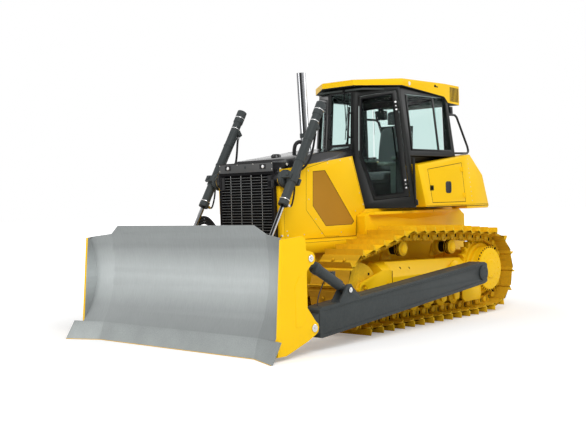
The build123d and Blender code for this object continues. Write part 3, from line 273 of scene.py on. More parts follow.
# ------------------------ tracks
# Each track is a loop of pressed steel shoes, every one held by four bolts to a pair of
# forged links, and the links turn on pins in hardened bushings. All of it is sprayed yellow.
sides = (("left", 1), ("right", -1))
gauge, shoe_width, shoe_count = 1880, 560, 38
rail_spacing, pin_to_shoe, pin_to_rail, shoe_plate, grouser = 165, 62, 45, 15, 65
drive, carrier_rollers, idler, last_roller = (0, 570), ((734, 900), (1792, 930)), (2650, 500), (462, 282)
wheels = [(*drive, 408), *((x, z, 135) for x, z in carrier_rollers), (*idler, 358), (*last_roller, 140)]
track_paint = finish_of("track_paint", (0.93, 0.58, 0.012), 0.5, 0.34, 0.12, 0.001,
                        {"Dust Color": (0.22, 0.12, 0.03, 1), "Dust Height": 1.6, "Tone": 0.06})
# Near-black for painted shadow in the links' recesses and in the gaps at the drives and rollers, and for the dark
# joints on the track frames.
shadow_and_joint_black = finish_of("shadow_gaps", (0.010, 0.006, 0.002), 0.9, 0.0)


def paint_track_shade(material, rear, front, height, shade_brown):
    """Paints shade, in brown, on the faces that look into the loop of the track and on those that look forward at its
    front.
    """
    tree = material.node_tree
    place = place_in(tree)
    axes = node(tree, "SeparateXYZ", {0: place}).outputs
    normal = node(tree, "TexCoord").outputs["Normal"]
    core = node(tree, "CombineXYZ", {0: ranged(tree, axes["X"], rear, front, rear, front), 1: axes["Y"], 2: height})
    away = vector_result(tree, "NORMALIZE", vector_result(tree, "SUBTRACT", place, core.outputs[0]))
    facing_out = vector_result(tree, "DOT_PRODUCT", away, normal, output="Value")
    speck = node(tree, "TexNoise", {"Vector": place, "Scale": 14.0, "Detail": 5.0}).outputs["Fac"]
    inside = ranged(tree, result(tree, "MULTIPLY_ADD", speck, -0.8, facing_out), -1.0, 0.1, 0.5, 0.0)
    forward = ranged(tree, node(tree, "SeparateXYZ", {0: normal}).outputs["X"], 0.3, 0.8, 0.0, 0.70)
    at_front = result(tree, "MULTIPLY", forward, ranged(tree, axes["X"], front, front + 0.2))
    colour = tree.nodes["Principled BSDF"].inputs["Base Color"]
    mixed = node(tree, "Mix", {0: result(tree, "MAXIMUM", inside, at_front), 6: colour.links[0].from_socket, 7: shade_brown},
                 data_type="RGBA")
    tree.links.new(mixed.outputs[2], colour)


# Painted shade, in brown, on the tracks' inner faces and on the forward faces at their front.
paint_track_shade(track_paint, -1.97, 0.68, 0.53, (0.34, 0.16, 0.015, 1))


def belt_round(circles):
    """The runs and arcs of a belt round circles of x, z, radius: length, start, heading, radius."""
    runs, tangents = [], []
    for (x0, z0, r0), (x1, z1, r1) in zip(circles, circles[1:] + circles[:1]):
        span = hypot(x1 - x0, z1 - z0)
        normal = atan2(z1 - z0, x1 - x0) + pi / 2 + atan2(r1 - r0, (span ** 2 - (r1 - r0) ** 2) ** 0.5)
        tangents.append((normal, (x0 + r0 * cos(normal), z0 + r0 * sin(normal)),
                         (x1 + r1 * cos(normal), z1 + r1 * sin(normal))))
    for k, (x, z, r) in enumerate(circles):
        arrive, (leave, start, end) = tangents[k - 1][0], tangents[k]
        runs.append((r * ((arrive - leave) % (2 * pi)), (x, z), arrive, r))
        runs.append((hypot(end[0] - start[0], end[1] - start[1]), start, leave, None))
    return runs


belt = belt_round(wheels)
pitch = sum(run[0] for run in belt) / shoe_count


def on_belt(distance):
    """Place and heading at a distance along the belt."""
    for length, (x, z), normal, radius in belt:
        if distance <= length:
            if radius:
                normal -= distance / radius
                return x + radius * cos(normal), z + radius * sin(normal), normal - pi / 2
            return x + distance * sin(normal), z - distance * cos(normal), normal - pi / 2
        distance -= length
    return on_belt(distance)


def settle():
    """Moves the active piece's place, turn and size into its mesh."""
    bpy.ops.object.transform_apply(location=True, rotation=True, scale=True)
    return bpy.context.object


def block(low, high):
    """A block between two corners given in the machine's millimetres."""
    low, high = at(*low), at(*high)
    bpy.ops.mesh.primitive_cube_add(size=1, location=(low + high) / 2, scale=[abs(side) for side in high - low])
    return settle()


def strip(start, end, normal, width, proud):
    """A thin flat strip from one place to another on a face with that normal, standing proud of it."""
    start, end, normal = at(*start), at(*end), Vector(normal).normalized()
    run = (end - start).normalized()
    across = normal.cross(run)
    bpy.ops.mesh.primitive_cube_add(
        size=1, location=(start + end) / 2, rotation=Matrix((run, across, run.cross(across))).transposed().to_euler(),
        scale=((end - start).length, width / 1000, 2 * proud / 1000))
    return settle()


def outwards(piece):
    """Ends editing with every face looking out."""
    bpy.ops.mesh.select_all(action="SELECT")
    bpy.ops.mesh.remove_doubles(threshold=0.00001)
    bpy.ops.mesh.normals_make_consistent(inside=False)
    bpy.ops.object.mode_set(mode="OBJECT")
    return piece


def turning(start, end, stations, facets=32):
    """A turned piece from start towards end: stations hold distance along and radius, in millimetres."""
    start, end = at(*start), at(*end)
    along = (end - start).normalized()
    bpy.ops.mesh.primitive_circle_add(vertices=facets, radius=stations[0][1] / 1000, fill_type="NGON",
                                      location=start + along * stations[0][0] / 1000,
                                      rotation=along.to_track_quat("Z", "Y").to_euler())
    piece = settle()
    edit(piece)
    bpy.ops.mesh.select_all(action="SELECT")
    for (before, narrow), (after, wide) in zip(stations, stations[1:]):
        bpy.ops.mesh.extrude_region_move(TRANSFORM_OT_translate={"value": along * (after - before) / 1000})
        if wide != narrow:
            bpy.ops.transform.resize(value=(wide / narrow,) * 3, center_override=start + along * after / 1000)
    return outwards(piece)


def cut(piece, *planes):
    """Trims a piece by planes given as a place in the machine's millimetres and the side that goes."""
    edit(piece)
    for place, normal in planes:
        bpy.ops.mesh.select_all(action="SELECT")
        bpy.ops.mesh.bisect(plane_co=at(*place), plane_no=Vector(normal).normalized(), use_fill=True,
                            clear_outer=True)
    return outwards(piece)


def score(*stations):
    """Cuts rings of edges across the piece that is open, at places along x."""
    for x in stations:
        bpy.ops.mesh.select_all(action="SELECT")
        bpy.ops.mesh.bisect(plane_co=at(x, 0, 0), plane_no=(1, 0, 0))


def pick_faces(piece, wanted):
    """Selects the faces whose middle and normal are the wanted ones."""
    mesh = bmesh.from_edit_mesh(piece.data)
    for face in mesh.faces:
        face.select_set(bool(wanted(face.calc_center_median(), face.normal)))
    mesh.select_flush_mode()
    bmesh.update_edit_mesh(piece.data)


def join(parts, name):
    """Several pieces made one."""
    select_only(*parts)
    if len(parts) > 1:
        bpy.ops.object.join()
    parts[0].name = parts[0].data.name = name
    return parts[0]


def bolt_pattern():
    """One set screw of unit size along +Z, about its head's middle: washer, head and chamfered top."""
    parts = []
    for facets, radius, depth, height, rim, lift in ((6, 1.0, 0.8, 0, 0.16, 0.12), (12, 1.45, 0.2, -0.48, 0.2, 0)):
        bpy.ops.mesh.primitive_cylinder_add(vertices=facets, radius=radius, depth=depth, location=(0, 0, height))
        parts.append(bpy.context.object)
        edit(parts[-1])
        pick_faces(parts[-1], lambda middle, normal: normal.z > 0.9)
        bpy.ops.mesh.inset(thickness=rim)
        bpy.ops.transform.translate(value=(0, 0, lift))
        bpy.ops.object.mode_set(mode="OBJECT")
        settle()
    return join(parts, "bolt_pattern")


bolt = bolt_pattern()


def facing(place, normal, size):
    """Matrix that stands a unit pattern on a place, along a normal, at a size."""
    return Matrix.Translation(place) @ Vector(normal).to_track_quat("Z", "Y").to_matrix().to_4x4() @ Matrix.Scale(
        size, 4)


def copies(pattern, name, placings):
    """Copies of a pattern, each moved by its own matrix, joined into one piece."""
    made = []
    for placing in placings:
        made.append(add(name, pattern.data.copy()))
        made[-1].data.transform(placing)
    return close(join(made, name), 0)


def link_pattern():
    """One shoe with its bolts, links, bushing and pin, lying along +X with the pin line at z 0."""
    half, middle = pitch / 2, 1970
    rear, front, top = middle - half, middle + half, pin_to_shoe + shoe_plate
    shoe = block((rear - 46, -shoe_width / 2, pin_to_shoe), (front - 8, shoe_width / 2, top))
    edit(shoe)
    score(rear - 14, front - 42)
    pick_faces(shoe, lambda centre, normal: normal.z > 0.9 and centre.x > (half - 42) / 1000)
    bpy.ops.mesh.extrude_region_move(TRANSFORM_OT_translate={"value": (0, 0, grouser / 1000)})
    bpy.ops.transform.resize(value=(0.5, 1, 1), center_override=((half - 25) / 1000, 0, 0))
    pick_faces(shoe, lambda centre, normal: normal.x < -0.9)
    bpy.ops.transform.translate(value=(0, 0, -0.034))
    parts = [outwards(shoe)]
    pin = front - 14
    for side in (-1, 1):
        y = side * rail_spacing / 2
        link = block((rear - 12, y - 23, -pin_to_rail), (front + 4, y + 23, pin_to_shoe))
        cut(link, ((rear - 12, 0, -20), (-1, 0, -1.1)), ((front + 4, 0, -20), (1, 0, -1.1)),
            ((front + 4, 0, 34), (1, 0, 0.9)), ((rear - 12, 0, 34), (-1, 0, 0.9)))
        edit(link)
        score(rear + 24, middle - 7, middle + 7, front - 32)
        pick_faces(link, lambda centre, normal: abs(normal.y) > 0.9 and 0.007 < abs(centre.x + 0.004) < 0.07)
        bpy.ops.mesh.inset(thickness=0.012, use_individual=True)
        bpy.ops.transform.resize(value=(1, 0.3, 1), center_override=(0, y / 1000, 0))
        parts.append(outwards(link))
        parts.append(turning((pin, side * 118 - 12, 0), (pin, side * 118 + 12, 0),
                             [(0, 34), (5, 38), (19, 38), (24, 30)], 14))
        for x in (middle - 34, middle + 26):
            parts.append(add("screw", bolt.data.copy()))
            parts[-1].data.transform(facing(at(x, y, top), (0, 0, 1), 0.0135))
    parts.append(turning((pin, -118, 0), (pin, 118, 0), [(0, 14), (4, 19), (232, 19), (236, 14)], 12))
    parts.append(turning((pin, -60, 0), (pin, 60, 0), [(0, 30), (120, 30)], 14))
    return join(parts, "track_link")


link = link_pattern()
# Black strips in the recesses on the links' sides paint the shadow there.
link_shadow_strip = join([strip((1970 + x - reach, side * 90, 16), (1970 + x + reach, side * 90, 16), (0, side, 0), 46, 1)
               for side in (-1, 1) for x, reach in ((-42, 19), (38, 17))], "painted_link_shadow")
for name, side in sides:
    placings = []
    for k in range(shoe_count):
        x, z, heading = on_belt((k + 0.5) * pitch)
        placings.append(Matrix.Translation(at(x, side * gauge / 2, z)) @ Matrix.Rotation(-heading, 4, "Y"))
    fit(copies(link, "track_chain_" + name, placings), "chassis", track_paint, "track_steel", "track_" + name)
    fit(copies(link_shadow_strip, "painted_link_shadows_" + name, placings), "chassis", shadow_and_joint_black, "track_steel")
bpy.data.objects.remove(link)
bpy.data.objects.remove(link_shadow_strip)


# ------------------------ undercarriage
# Toothed rims bolted round the final drives, turned idlers and rollers, and welded box
# frames that carry them.
for name in ("sprockets", "idlers", "track_rollers", "carrier_rollers", "track_frames"):
    dress(name, yellow if name in ("sprockets", "track_frames") else track_paint, "yellow_paint")


def both_hands(places, size, normal=(0, 1, 0)):
    """Matrices that stand a pattern on the same places on the left and, mirrored, on the right."""
    x_part, y_part, z_part = normal
    return [facing(at(x, y * side, z), (x_part, y_part * side, z_part), size)
            for x, y, z in places for side in (1, -1)]


def ring_of(centre, radius, count, normal=(0, 1, 0)):
    """Places of a bolt circle, in the same millimetres as its centre."""
    across = Vector(normal).orthogonal().normalized()
    other = Vector(normal).cross(across)
    turns = [2 * pi * k / count for k in range(count)]
    return [Vector(centre) + radius * (across * cos(angle) + other * sin(angle)) for angle in turns]


def screws(name, placings, material, slot, body="chassis"):
    """A set of screws on one body, each stood on its place by a matrix."""
    return fit(copies(bolt, name, placings), body, material, slot)


rim_bolts = []
for (x, z), y, radius, count, size in (
        (drive, 76, 298, 24, 0.010), (drive, 92, 190, 12, 0.011), (idler, 150, 42, 6, 0.009),
        *((roller, 121, 46, 3, 0.008) for roller in carrier_rollers)):
    rim_bolts += both_hands(ring_of((x, gauge / 2 + y, z), radius, count), size)
screws("undercarriage_bolts", rim_bolts, yellow, "yellow_paint")


# ------------------------ final drives and track frames
# Round drive housings bolted through their rims, black rings of painted shade in the gaps
# round the housings and on the carrier rollers, capped hubs on the rollers, and the joints,
# slots and screws of the welded frames.
def put(parts, name, material, slot, edge=None, body="chassis"):
    """Joins parts into one piece, breaks and smooths its edges if asked, and fits it to its body."""
    piece = join(parts, name)
    if edge is not None:
        close(piece, edge)
    return fit(piece, body, material, slot)


def seam(run, y, width, proud=0.5):
    """Strips that join the places x, z of a run, on a side face at y."""
    return [strip((x0, y, z0), (x1, y, z1), (0, 1 if y > 0 else -1, 0), width, proud)
            for (x0, z0), (x1, z1) in zip(run, run[1:])]


def hub(x, y, z, stations, facets):
    """A turned piece on a side face at y, that looks out from the machine."""
    return turning((x, y, z), (x, y * 2, z), stations, facets)


drives, seals_and_shadow_rings, caps = [], [], []
for side in (1, -1):
    drives.append(hub(0, 1010 * side, drive[1], [
        (0, 300), (40, 300), (52, 290), (128, 290), (128, 276), (146, 276), (155, 268)], 72))
    drives.append(hub(0, 1160 * side, drive[1], [(0, 130), (14, 130), (22, 118)], 40))
    seals_and_shadow_rings.append(hub(0, 1138 * side, drive[1], [(0, 292), (5, 292)], 72))
    for x, z in carrier_rollers:
        for y, depth, radius in ((882, 92, 70), (984, 20, 91), (1012, 14, 91), (1034, 8, 91)):
            seals_and_shadow_rings.append(hub(x, y * side, z, [(0, radius), (depth, radius)], 36))
        caps.append(hub(x, 1061 * side, z, [(0, 60), (4, 60), (5, 50), (9, 50), (13, 34)], 32))
put(drives, "final_drive_housings", yellow, "yellow_paint", 0.003)
# The black rings paint the shade in the gaps round the drive housings and on the carrier rollers.
put(seals_and_shadow_rings, "shadow_rings", shadow_and_joint_black, "yellow_paint")
put(caps, "carrier_roller_caps", yellow, "yellow_paint")
drive_bolts = []
for y, radius, count, size in ((1138, 283, 36, 0.0125), (1165, 205, 16, 0.010), (1182, 92, 8, 0.009)):
    drive_bolts += both_hands(ring_of((0, y, drive[1]), radius, count), size)
screws("final_drive_bolts", drive_bolts, yellow, "yellow_paint")
frame_marks = []
for x0, z0, x1, z1, y, width in (
        (2121, 400, 2121, 690, 1120, 10), (1240, 420, 1240, 560, 1120, 7), (2540, 683, 2572, 683, 1109, 30),
        (1945, 700, 1973, 725, 1119, 12), (1765, 690, 1790, 712, 1119, 12)):
    for side in (1, -1):
        frame_marks += seam([(x0, z0), (x1, z1)], y * side, width, 1.0)
put(frame_marks, "track_frame_joints", shadow_and_joint_black, "yellow_paint", 0)
frame_bolts = [(x, 1120, z) for x, z in (
    (2771, 520), (2625, 530), (2200, 560), (2040, 470), (1900, 520), (1560, 470), (1240, 470), (900, 430))]
screws("track_frame_bolts", both_hands(frame_bolts, 0.013), yellow, "yellow_paint")


# ------------------------ push beams
# Two deep box beams in charcoal paint, welded from plate. Each turns on an axle stub of
# the track frame and ends in a thick plate and an eye for the blade's lower pin.
charcoal = finish_of("charcoal_paint", (0.047, 0.054, 0.055), 0.46, 0.10, 0.06,
                     feeds={"Dust Color": (0.20, 0.19, 0.17, 1), "Tone": 0.10, "Dust Height": 1.0})
steel = finish_of("bright_steel", (0.60, 0.60, 0.60), 0.26, 0.04, feeds={"Tone": 0.03}, Metallic=1.0)
clevis, clevis_y, beam_face = (3408, 592), 1462, 1520
for name, side in sides:
    body = "push_beam_" + name
    dress(body, charcoal, "charcoal_paint", 0.006)
    x, z = clevis
    put([hub(x, (clevis_y + 72) * side, z, [(0, 27), (5, 27), (8, 22)], 24),
         copies(bolt, "clevis_screw", [facing(at(x, (clevis_y + 80) * side, z), (0, side, 0), 0.012)])],
        "clevis_pin_cap_" + name, steel, "chrome", body=body)
    seams = []
    for z_rear, z_front in ((676, 416), (480, 178)):
        seams.append(block((760, (beam_face - 1) * side, -3), (3830, (beam_face + 4) * side, 3)))
        seams[-1].data.transform(Matrix.Translation(at(760, 0, z_rear)) @ Matrix.Rotation(
            atan2(z_rear - z_front, 3830 - 760), 4, "Y") @ Matrix.Translation(-at(760, 0, 0)))
    put(seams, "beam_seam_welds_" + name, charcoal, "charcoal_paint", 0.0015, body)
dress("trunnion_caps", charcoal, "charcoal_paint", 0.004)
screws("trunnion_cap_screws", both_hands(ring_of((770, 1540, 580), 62, 6), 0.009), charcoal, "charcoal_paint",
       "lift_carrier")


# ------------------------ blade
# A curved moldboard ground bright by what slides over it, with yellow end plates and
# boxed stiffeners behind, and a bolted edge of harder steel along the bottom.
def grey_ramp(tree, value, stops):
    """A ramp of greys through stops of place and brightness."""
    band = node(tree, "ValToRGB", {0: value})
    for place, grey in stops[1:-1]:
        band.color_ramp.elements.new(place)
    for stop, (place, grey) in zip(band.color_ramp.elements, stops):
        stop.position, stop.color = place, (grey, grey, grey, 1)
    return band.outputs[0]


def shade(material, value):
    """Multiplies the brightness of a material's own colour by a value that changes over the surface."""
    colour = material.node_tree.nodes["Principled BSDF"].inputs["Base Color"]
    toned = node(material.node_tree, "HueSaturation", {"Color": colour.links[0].from_socket, "Value": value})
    material.node_tree.links.new(toned.outputs[0], colour)
    return material


joint_y, end_plate_outer = 1252, 1586


def ground_steel(name, colour, roughness, tone, stretch, grain, brightness_by_height):
    """Bright steel with fine scratches along one direction, painted brighter or darker with height, with painted
    light and shade on its wings beyond the joints.
    """
    material = finish_of(name, colour, roughness, 0.0, distance=0.0005, feeds={"Tone": tone}, Metallic=0.25)
    tree = material.node_tree
    place = place_in(tree)
    drawn = node(tree, "Mapping", {"Vector": place, "Scale": stretch}).outputs[0]
    streaks = node(tree, "TexNoise", {"Vector": drawn, "Scale": 9.0, "Detail": 7.0, "Roughness": 0.75}).outputs["Fac"]
    axes = node(tree, "SeparateXYZ", {0: place}).outputs
    wear_and_shade = grey_ramp(tree, ranged(tree, axes["Z"], 0.0, 1.3), brightness_by_height)
    # Painted light and shade: beyond the joints, the right wing is painted a little brighter than the middle and the
    # left one darker.
    for joint, below, beyond in ((-joint_y / 1000, 1.07, 1.0), (joint_y / 1000, 1.0, 0.90)):
        wing = ranged(tree, axes["Y"], joint - 0.002, joint + 0.002, below, beyond)
        wear_and_shade = result(tree, "MULTIPLY", wear_and_shade, wing)
    scored = result(tree, "MULTIPLY_ADD", streaks, grain, 1 - grain / 2)
    return shade(material, result(tree, "MULTIPLY", wear_and_shade, scored))


# On the moldboard the ramp paints a bright reflection band across its middle height.
moldboard_steel = ground_steel("moldboard_steel", (0.44, 0.468, 0.465), 0.5, 0.03, (0.35, 9.0, 1.2), 0.34, (
    (0.0, 0.50), (0.30, 0.62), (0.42, 0.83), (0.54, 1.0), (0.64, 0.98), (0.74, 0.80), (0.84, 0.62), (1.0, 0.64)))
# On the cutting edge the ramp makes it brighter towards the bottom.
edge_steel = ground_steel("edge_steel", (0.36, 0.385, 0.38), 0.6, 0.10, (14.0, 14.0, 14.0), 1.0, (
    (0.0, 0.95), (0.12, 0.85), (0.2, 0.7), (1.0, 0.7)))


def skin(piece, name, wanted, thickness, edge, material, slot, body="chassis", smooth=35):
    """Parts off the wanted faces of a finished piece as a sheet of their own laid over it."""
    edit(piece)
    pick_faces(piece, wanted)
    bpy.ops.mesh.duplicate()
    bpy.ops.mesh.separate(type="SELECTED")
    bpy.ops.object.mode_set(mode="OBJECT")
    sheet = next(made for made in bpy.context.selected_objects if made != piece)
    close(piece, edge)
    select_only(sheet)
    modify(sheet, "SOLIDIFY", thickness=thickness / 1000, offset=1)
    sheet.name = sheet.data.name = name
    return fit(close(sheet, 0, smooth=smooth), body, material, slot)


def press(piece, direction, rim, depth):
    """Sinks the face that looks in a direction within a rim, both in millimetres, as a die does."""
    direction = Vector(direction)
    edit(piece)
    pick_faces(piece, lambda middle, normal: normal.dot(direction) > 0.9)
    bpy.ops.mesh.inset(thickness=rim / 1000)
    bpy.ops.transform.translate(value=direction * -depth / 1000)
    return outwards(piece)


def on_moldboard(middle, normal):
    """True for the blade's front sheet, the inner faces of its end plates and its top edge."""
    front = normal.x > 0.55 and abs(middle.y) < 1.552 and middle.z > 0.19 and middle.x > 2.335
    end = normal.y * middle.y < -1.5 and 1.545 < abs(middle.y) < 1.555 and middle.x > 2.2
    return front or end or normal.z > 0.8 and middle.x > 2.4 and middle.z > 1.19


structure = dress("blade", yellow, "yellow_paint", 0)
structure.name = structure.data.name = "blade_structure"
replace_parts(skin(structure, "moldboard_face", on_moldboard, 2, 0.003, moldboard_steel, "blade_steel",
                 "blade_assembly", 40), "blade")
dress("cutting_edge", edge_steel, "edge_steel")
worn_line = finish_of("edge_marking", (0.72, 0.42, 0.02), 0.5, 0.3)
put([strip((x0, y0, 3), (x1, y1, 3), (1, 0, 0.3), 7, 1.2) for x0, y0, x1, y1 in (
    (4588, -joint_y, 4588, joint_y), (4588, joint_y, 4769, 1659), (4588, -joint_y, 4769, -1659))],
    "cutting_edge_lip", worn_line, "edge_steel", 0, "blade_assembly")
pins, hollows = [], []
lower_pin, upper_pin = (4056, 270), (4087, 967)
for side in (1, -1):
    for (x, z), radius in ((lower_pin, 40), (upper_pin, 36)):
        pins.append(hub(x, (end_plate_outer + 1) * side, z, [(0, radius), (8, radius), (11, radius - 4)], 28))
        pins.append(copies(bolt, "pin_screw", [facing(at(x, (end_plate_outer + 12) * side, z), (0, side, 0), 0.013)]))
    web = block((4170, (end_plate_outer - 1) * side, 300), (4330, (end_plate_outer + 3) * side, 800))
    cut(web, ((4170, 0, 360), (-1, 0, -1)), ((4330, 0, 700), (1, 0, 0.6)))
    hollows.append(press(web, (0, side, 0), 18, 2.5))
put(pins, "blade_pin_caps", steel, "chrome", body="blade_assembly")
put(hollows, "end_plate_pressings", yellow, "yellow_paint", 0.001, "blade_assembly")


# ------------------------ tilt cylinders
# Painted hydraulic struts between each beam and its end of the blade. A steel feed tube
# drops from the barrel's port to the front of the beam.
tilt_foot, tilt_head = (Vector((x, 0, z)) for x, z in (clevis, upper_pin))
tilt_line = (tilt_head - tilt_foot).normalized()


def on_tilt(distance, y):
    """A place on a tilt cylinder's axis, at a distance from its foot."""
    place = tilt_foot + tilt_line * distance
    return place.x, y, place.z


def hose(points, radius):
    """A bent hose or tube through control points, with closed ends."""
    line = bpy.data.curves.new("hose", "CURVE")
    line.dimensions, line.bevel_depth, line.bevel_resolution = "3D", radius / 1000, 3
    line.use_fill_caps, line.resolution_u = True, 8
    spline = line.splines.new("NURBS")
    spline.points.add(len(points) - 1)
    for knot, place in zip(spline.points, points):
        knot.co = (*at(*place), 1)
    spline.order_u, spline.use_endpoint_u = 3, True
    select_only(add("hose", line))
    bpy.ops.object.convert(target="MESH")
    bpy.ops.object.shade_smooth()
    return bpy.context.object


for name, side in sides:
    for part in ("tilt_barrel_", "tilt_rod_"):
        dress(part + name, charcoal, "charcoal_paint", 0.004)
    y = clevis_y * side
    put([turning(on_tilt(500, y), on_tilt(575, y),
                 [(0, 57), (4, 64), (48, 64), (52, 60), (66, 60), (70, 54), (75, 40)], 28),
         block((3590, y - 22, 742), (3650, y + 22, 800))],
        "tilt_gland_" + name, charcoal, "charcoal_paint", 0.003, "tilt_barrel_" + name)
    feed = hose([(x, y - back * side, z) for x, back, z in (
        (3655, 0, 770), (3690, 20, 745), (3700, 44, 700), (3760, 50, 600), (3800, 50, 520), (3806, 50, 440))], 6)
    feed.name = feed.data.name = "tilt_feed_tube_" + name
    feed.data.materials.append(charcoal)
    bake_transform(feed)


# ------------------------ lift cylinders
# Long painted barrels held at a collar by round yokes beside the nose. Chrome rods run
# down to the blade; banded caps, a port block, a steel tube and a rubber hose serve them.
def bright_tube(name, colour, centre, across, radius):
    """Bright tube metal with painted long dark and light reflections, as a polished tube shows them."""
    material = finish_of(name, colour, 0.18, 0.0, feeds={"Tone": 0.02}, Metallic=1.0)
    tree = material.node_tree
    off = vector_result(tree, "SUBTRACT", vector_result(tree, "ABSOLUTE", place_in(tree)), at(*centre))
    share = vector_result(tree, "DOT_PRODUCT", off, across.normalized() * 1000 / radius, output="Value")
    return shade(material, grey_ramp(tree, ranged(tree, share, -1.0, 1.0), (
        (0.0, 0.5), (0.14, 0.25), (0.22, 0.7), (0.30, 0.12), (0.36, 0.02), (0.58, 0.03), (0.68, 0.5), (0.84, 0.9),
        (1.0, 0.25))))


rubber = finish_of("hose_rubber", (0.012, 0.012, 0.013), 0.6, 0.06, 0.2, 0.001, {"Skin Scale": 120.0})
lift_pivot, lift_pin, lift_y, hub_face = Vector((3294, 0, 1790)), Vector((3950, 0, 700)), 650, 573
lift_line = (lift_pin - lift_pivot).normalized()
lift_behind = Vector((lift_line.z, 0, -lift_line.x))


def on_lift(distance, y, behind=0):
    """A place on a lift cylinder, at a distance down from its yoke and off behind its axis."""
    place = lift_pivot + lift_line * distance + lift_behind * behind
    return place.x, y, place.z


# The chrome rods' long dark and light bands are painted reflections.
chrome = bright_tube("chrome", (0.66, 0.67, 0.68), on_lift(0, lift_y), Vector((0, 0.74, 0)) + 0.67 * lift_behind, 31)
for name, side in sides:
    y, barrel, yoke = lift_y * side, "lift_barrel_" + name, "lift_yoke_" + name
    dress(yoke, charcoal, "charcoal_paint", 0.005)
    dress(barrel, charcoal, "charcoal_paint", 0.005)
    dress("lift_rod_" + name, chrome, "chrome", 0.002)
    bands = [turning(on_lift(place, y), on_lift(place + 10, y),
                     [(0, radius), (2, radius + 2), (8, radius + 2), (10, radius)], 36)
             for place, radius in ((-920, 60), (-766, 53), (270, 59))]
    bands.append(turning(on_lift(-1012, y), on_lift(-1000, y), [(0, 30), (4, 46), (12, 52)], 32))
    put(bands, "lift_bands_" + name, steel, "chrome", body=barrel)
    screws("lift_cap_screws_" + name, [facing(at(*place), -lift_line, 0.006) for place in ring_of(
        on_lift(-1008, y), 40, 6, lift_line)], charcoal, "charcoal_paint", barrel)
    port = block((-26, -24, -40), (26, 24, 40))
    port.data.transform(Matrix.Translation(at(*on_lift(-735, y - 12 * side, 64))) @ Matrix.Rotation(
        atan2(lift_line.x, -lift_line.z), 4, "Y") @ Matrix.Translation(-at(0, 0, 0)))
    clamps = [turning(on_lift(place, y), on_lift(place + 22, y), [(0, 54), (3, 57), (19, 57), (22, 54)], 32)
              for place in (-520, -240)]
    put([port] + clamps, "lift_port_" + name, charcoal, "charcoal_paint", 0.003, barrel)
    put([turning(on_lift(-708, y - 12 * side, 78), on_lift(-660, y - 12 * side, 92),
                 [(0, 16), (14, 20), (30, 20), (48, 13)], 6),
         turning(on_lift(300, y, 60), on_lift(300, y, 104), [(0, 20), (18, 20), (44, 13)], 6)],
        "lift_fittings_" + name, steel, "chrome", body=barrel)
    for label, material, slot, radius, run in (
            ("lift_long_tube_", charcoal, "charcoal_paint", 9, (
                (-735, 0, 60), (-700, 0, 74), (-600, 0, 70), (-400, 0, 66), (-120, 0, 66), (-85, 0, 84),
                (-60, 0, 92))),
            ("lift_supply_hose_", rubber, "dark_plastic", 13, (
                (-662, 12, 92), (-620, 14, 104), (-500, 24, 150), (-370, 40, 182), (-250, 56, 160), (-170, 70, 112),
                (-120, 78, 84))),
            ("lift_return_hose_", rubber, "dark_plastic", 10, (
                (300, 0, 100), (292, 0, 128), (230, 0, 124), (150, 0, 104), (96, 0, 84), (60, 0, 66)))):
        put([hose([on_lift(along, y - inward * side, behind) for along, inward, behind in run], radius)],
            label + name, material, slot, body=barrel)
    put([hub(*on_lift(0, (hub_face - 46) * side), [(0, 106), (30, 106), (34, 98), (46, 98), (55, 88)], 48)],
        "yoke_hub_" + name, charcoal, "charcoal_paint", 0.002, yoke)
    screws("yoke_screws_" + name, [facing(at(*place), (0, side, 0), 0.007) for place in ring_of(
        on_lift(0, hub_face * side), 92, 8, (0, side, 0))], charcoal, "charcoal_paint", yoke)


# ------------------------ nose
# The radiator guard is a charcoal frame with a bar for two lamps, bare in its middle, and
# a hinged black grille crossed by thin flat bars of bright steel.
gloss_black = finish_of("gloss_black", (0.010, 0.010, 0.011), 0.30, 0.02, 0.03, feeds={
    "Dust Color": (0.12, 0.12, 0.12, 1), "Tone": 0.2, "Dust Height": 3.0}, Specular_IOR_Level=0.2)
dull_black = finish_of("dull_black", (0.005, 0.005, 0.006), 0.8, 0.02, feeds={"Dust Color": (0.1, 0.1, 0.1, 1)})
bar_steel = finish_of("grille_bars", (0.60, 0.62, 0.62), 0.4, 0.1, Metallic=0.3)
slat_steel = finish_of("grille_slats", (0.20, 0.21, 0.21), 0.4, 0.05, Metallic=0.3)
nose_grey = finish_of("nose_grey", (0.085, 0.088, 0.090), 0.45, 0.06, feeds={"Tone": 0.08})
lens_white = finish_of("lamp_lens", (0.85, 0.86, 0.88), 0.15, 0.02, Coat_Weight=0.5)
zinc = finish_of("zinc_bolts", (0.62, 0.60, 0.55), 0.38, 0.1, Metallic=0.85)
nose_front, panel_face, ahead_of_nose = 3393, 500, (1, 0, 0)


def on_lamp_bar(middle, normal):
    """True for the front and top of the nose's upper bar."""
    return (normal.x > 0.9 and middle.x > 1.42 or normal.z > 0.5) and middle.z > 1.885


def on_cheek(middle, normal):
    """True for the nose's side faces, but not the yokes' bosses, and for the narrow faces ahead of them."""
    boss = hypot(middle.x - 1.324, middle.z - 1.79) < 0.02
    return (middle.z < 1.9 and abs(middle.y) > 0.49 and abs(normal.y) > 0.9 and not boss
            or middle.z < 1.7 and normal.x > 0.9 and abs(middle.y) > 0.46)


def rod(start, end, radius, facets=20):
    """A round bar with broken ends between two places."""
    length = (Vector(end) - Vector(start)).length
    lip = min(radius * 0.12, length * 0.2)
    return turning(start, end, [(0, radius - lip), (lip, radius), (length - lip, radius), (length, radius - lip)],
                   facets)


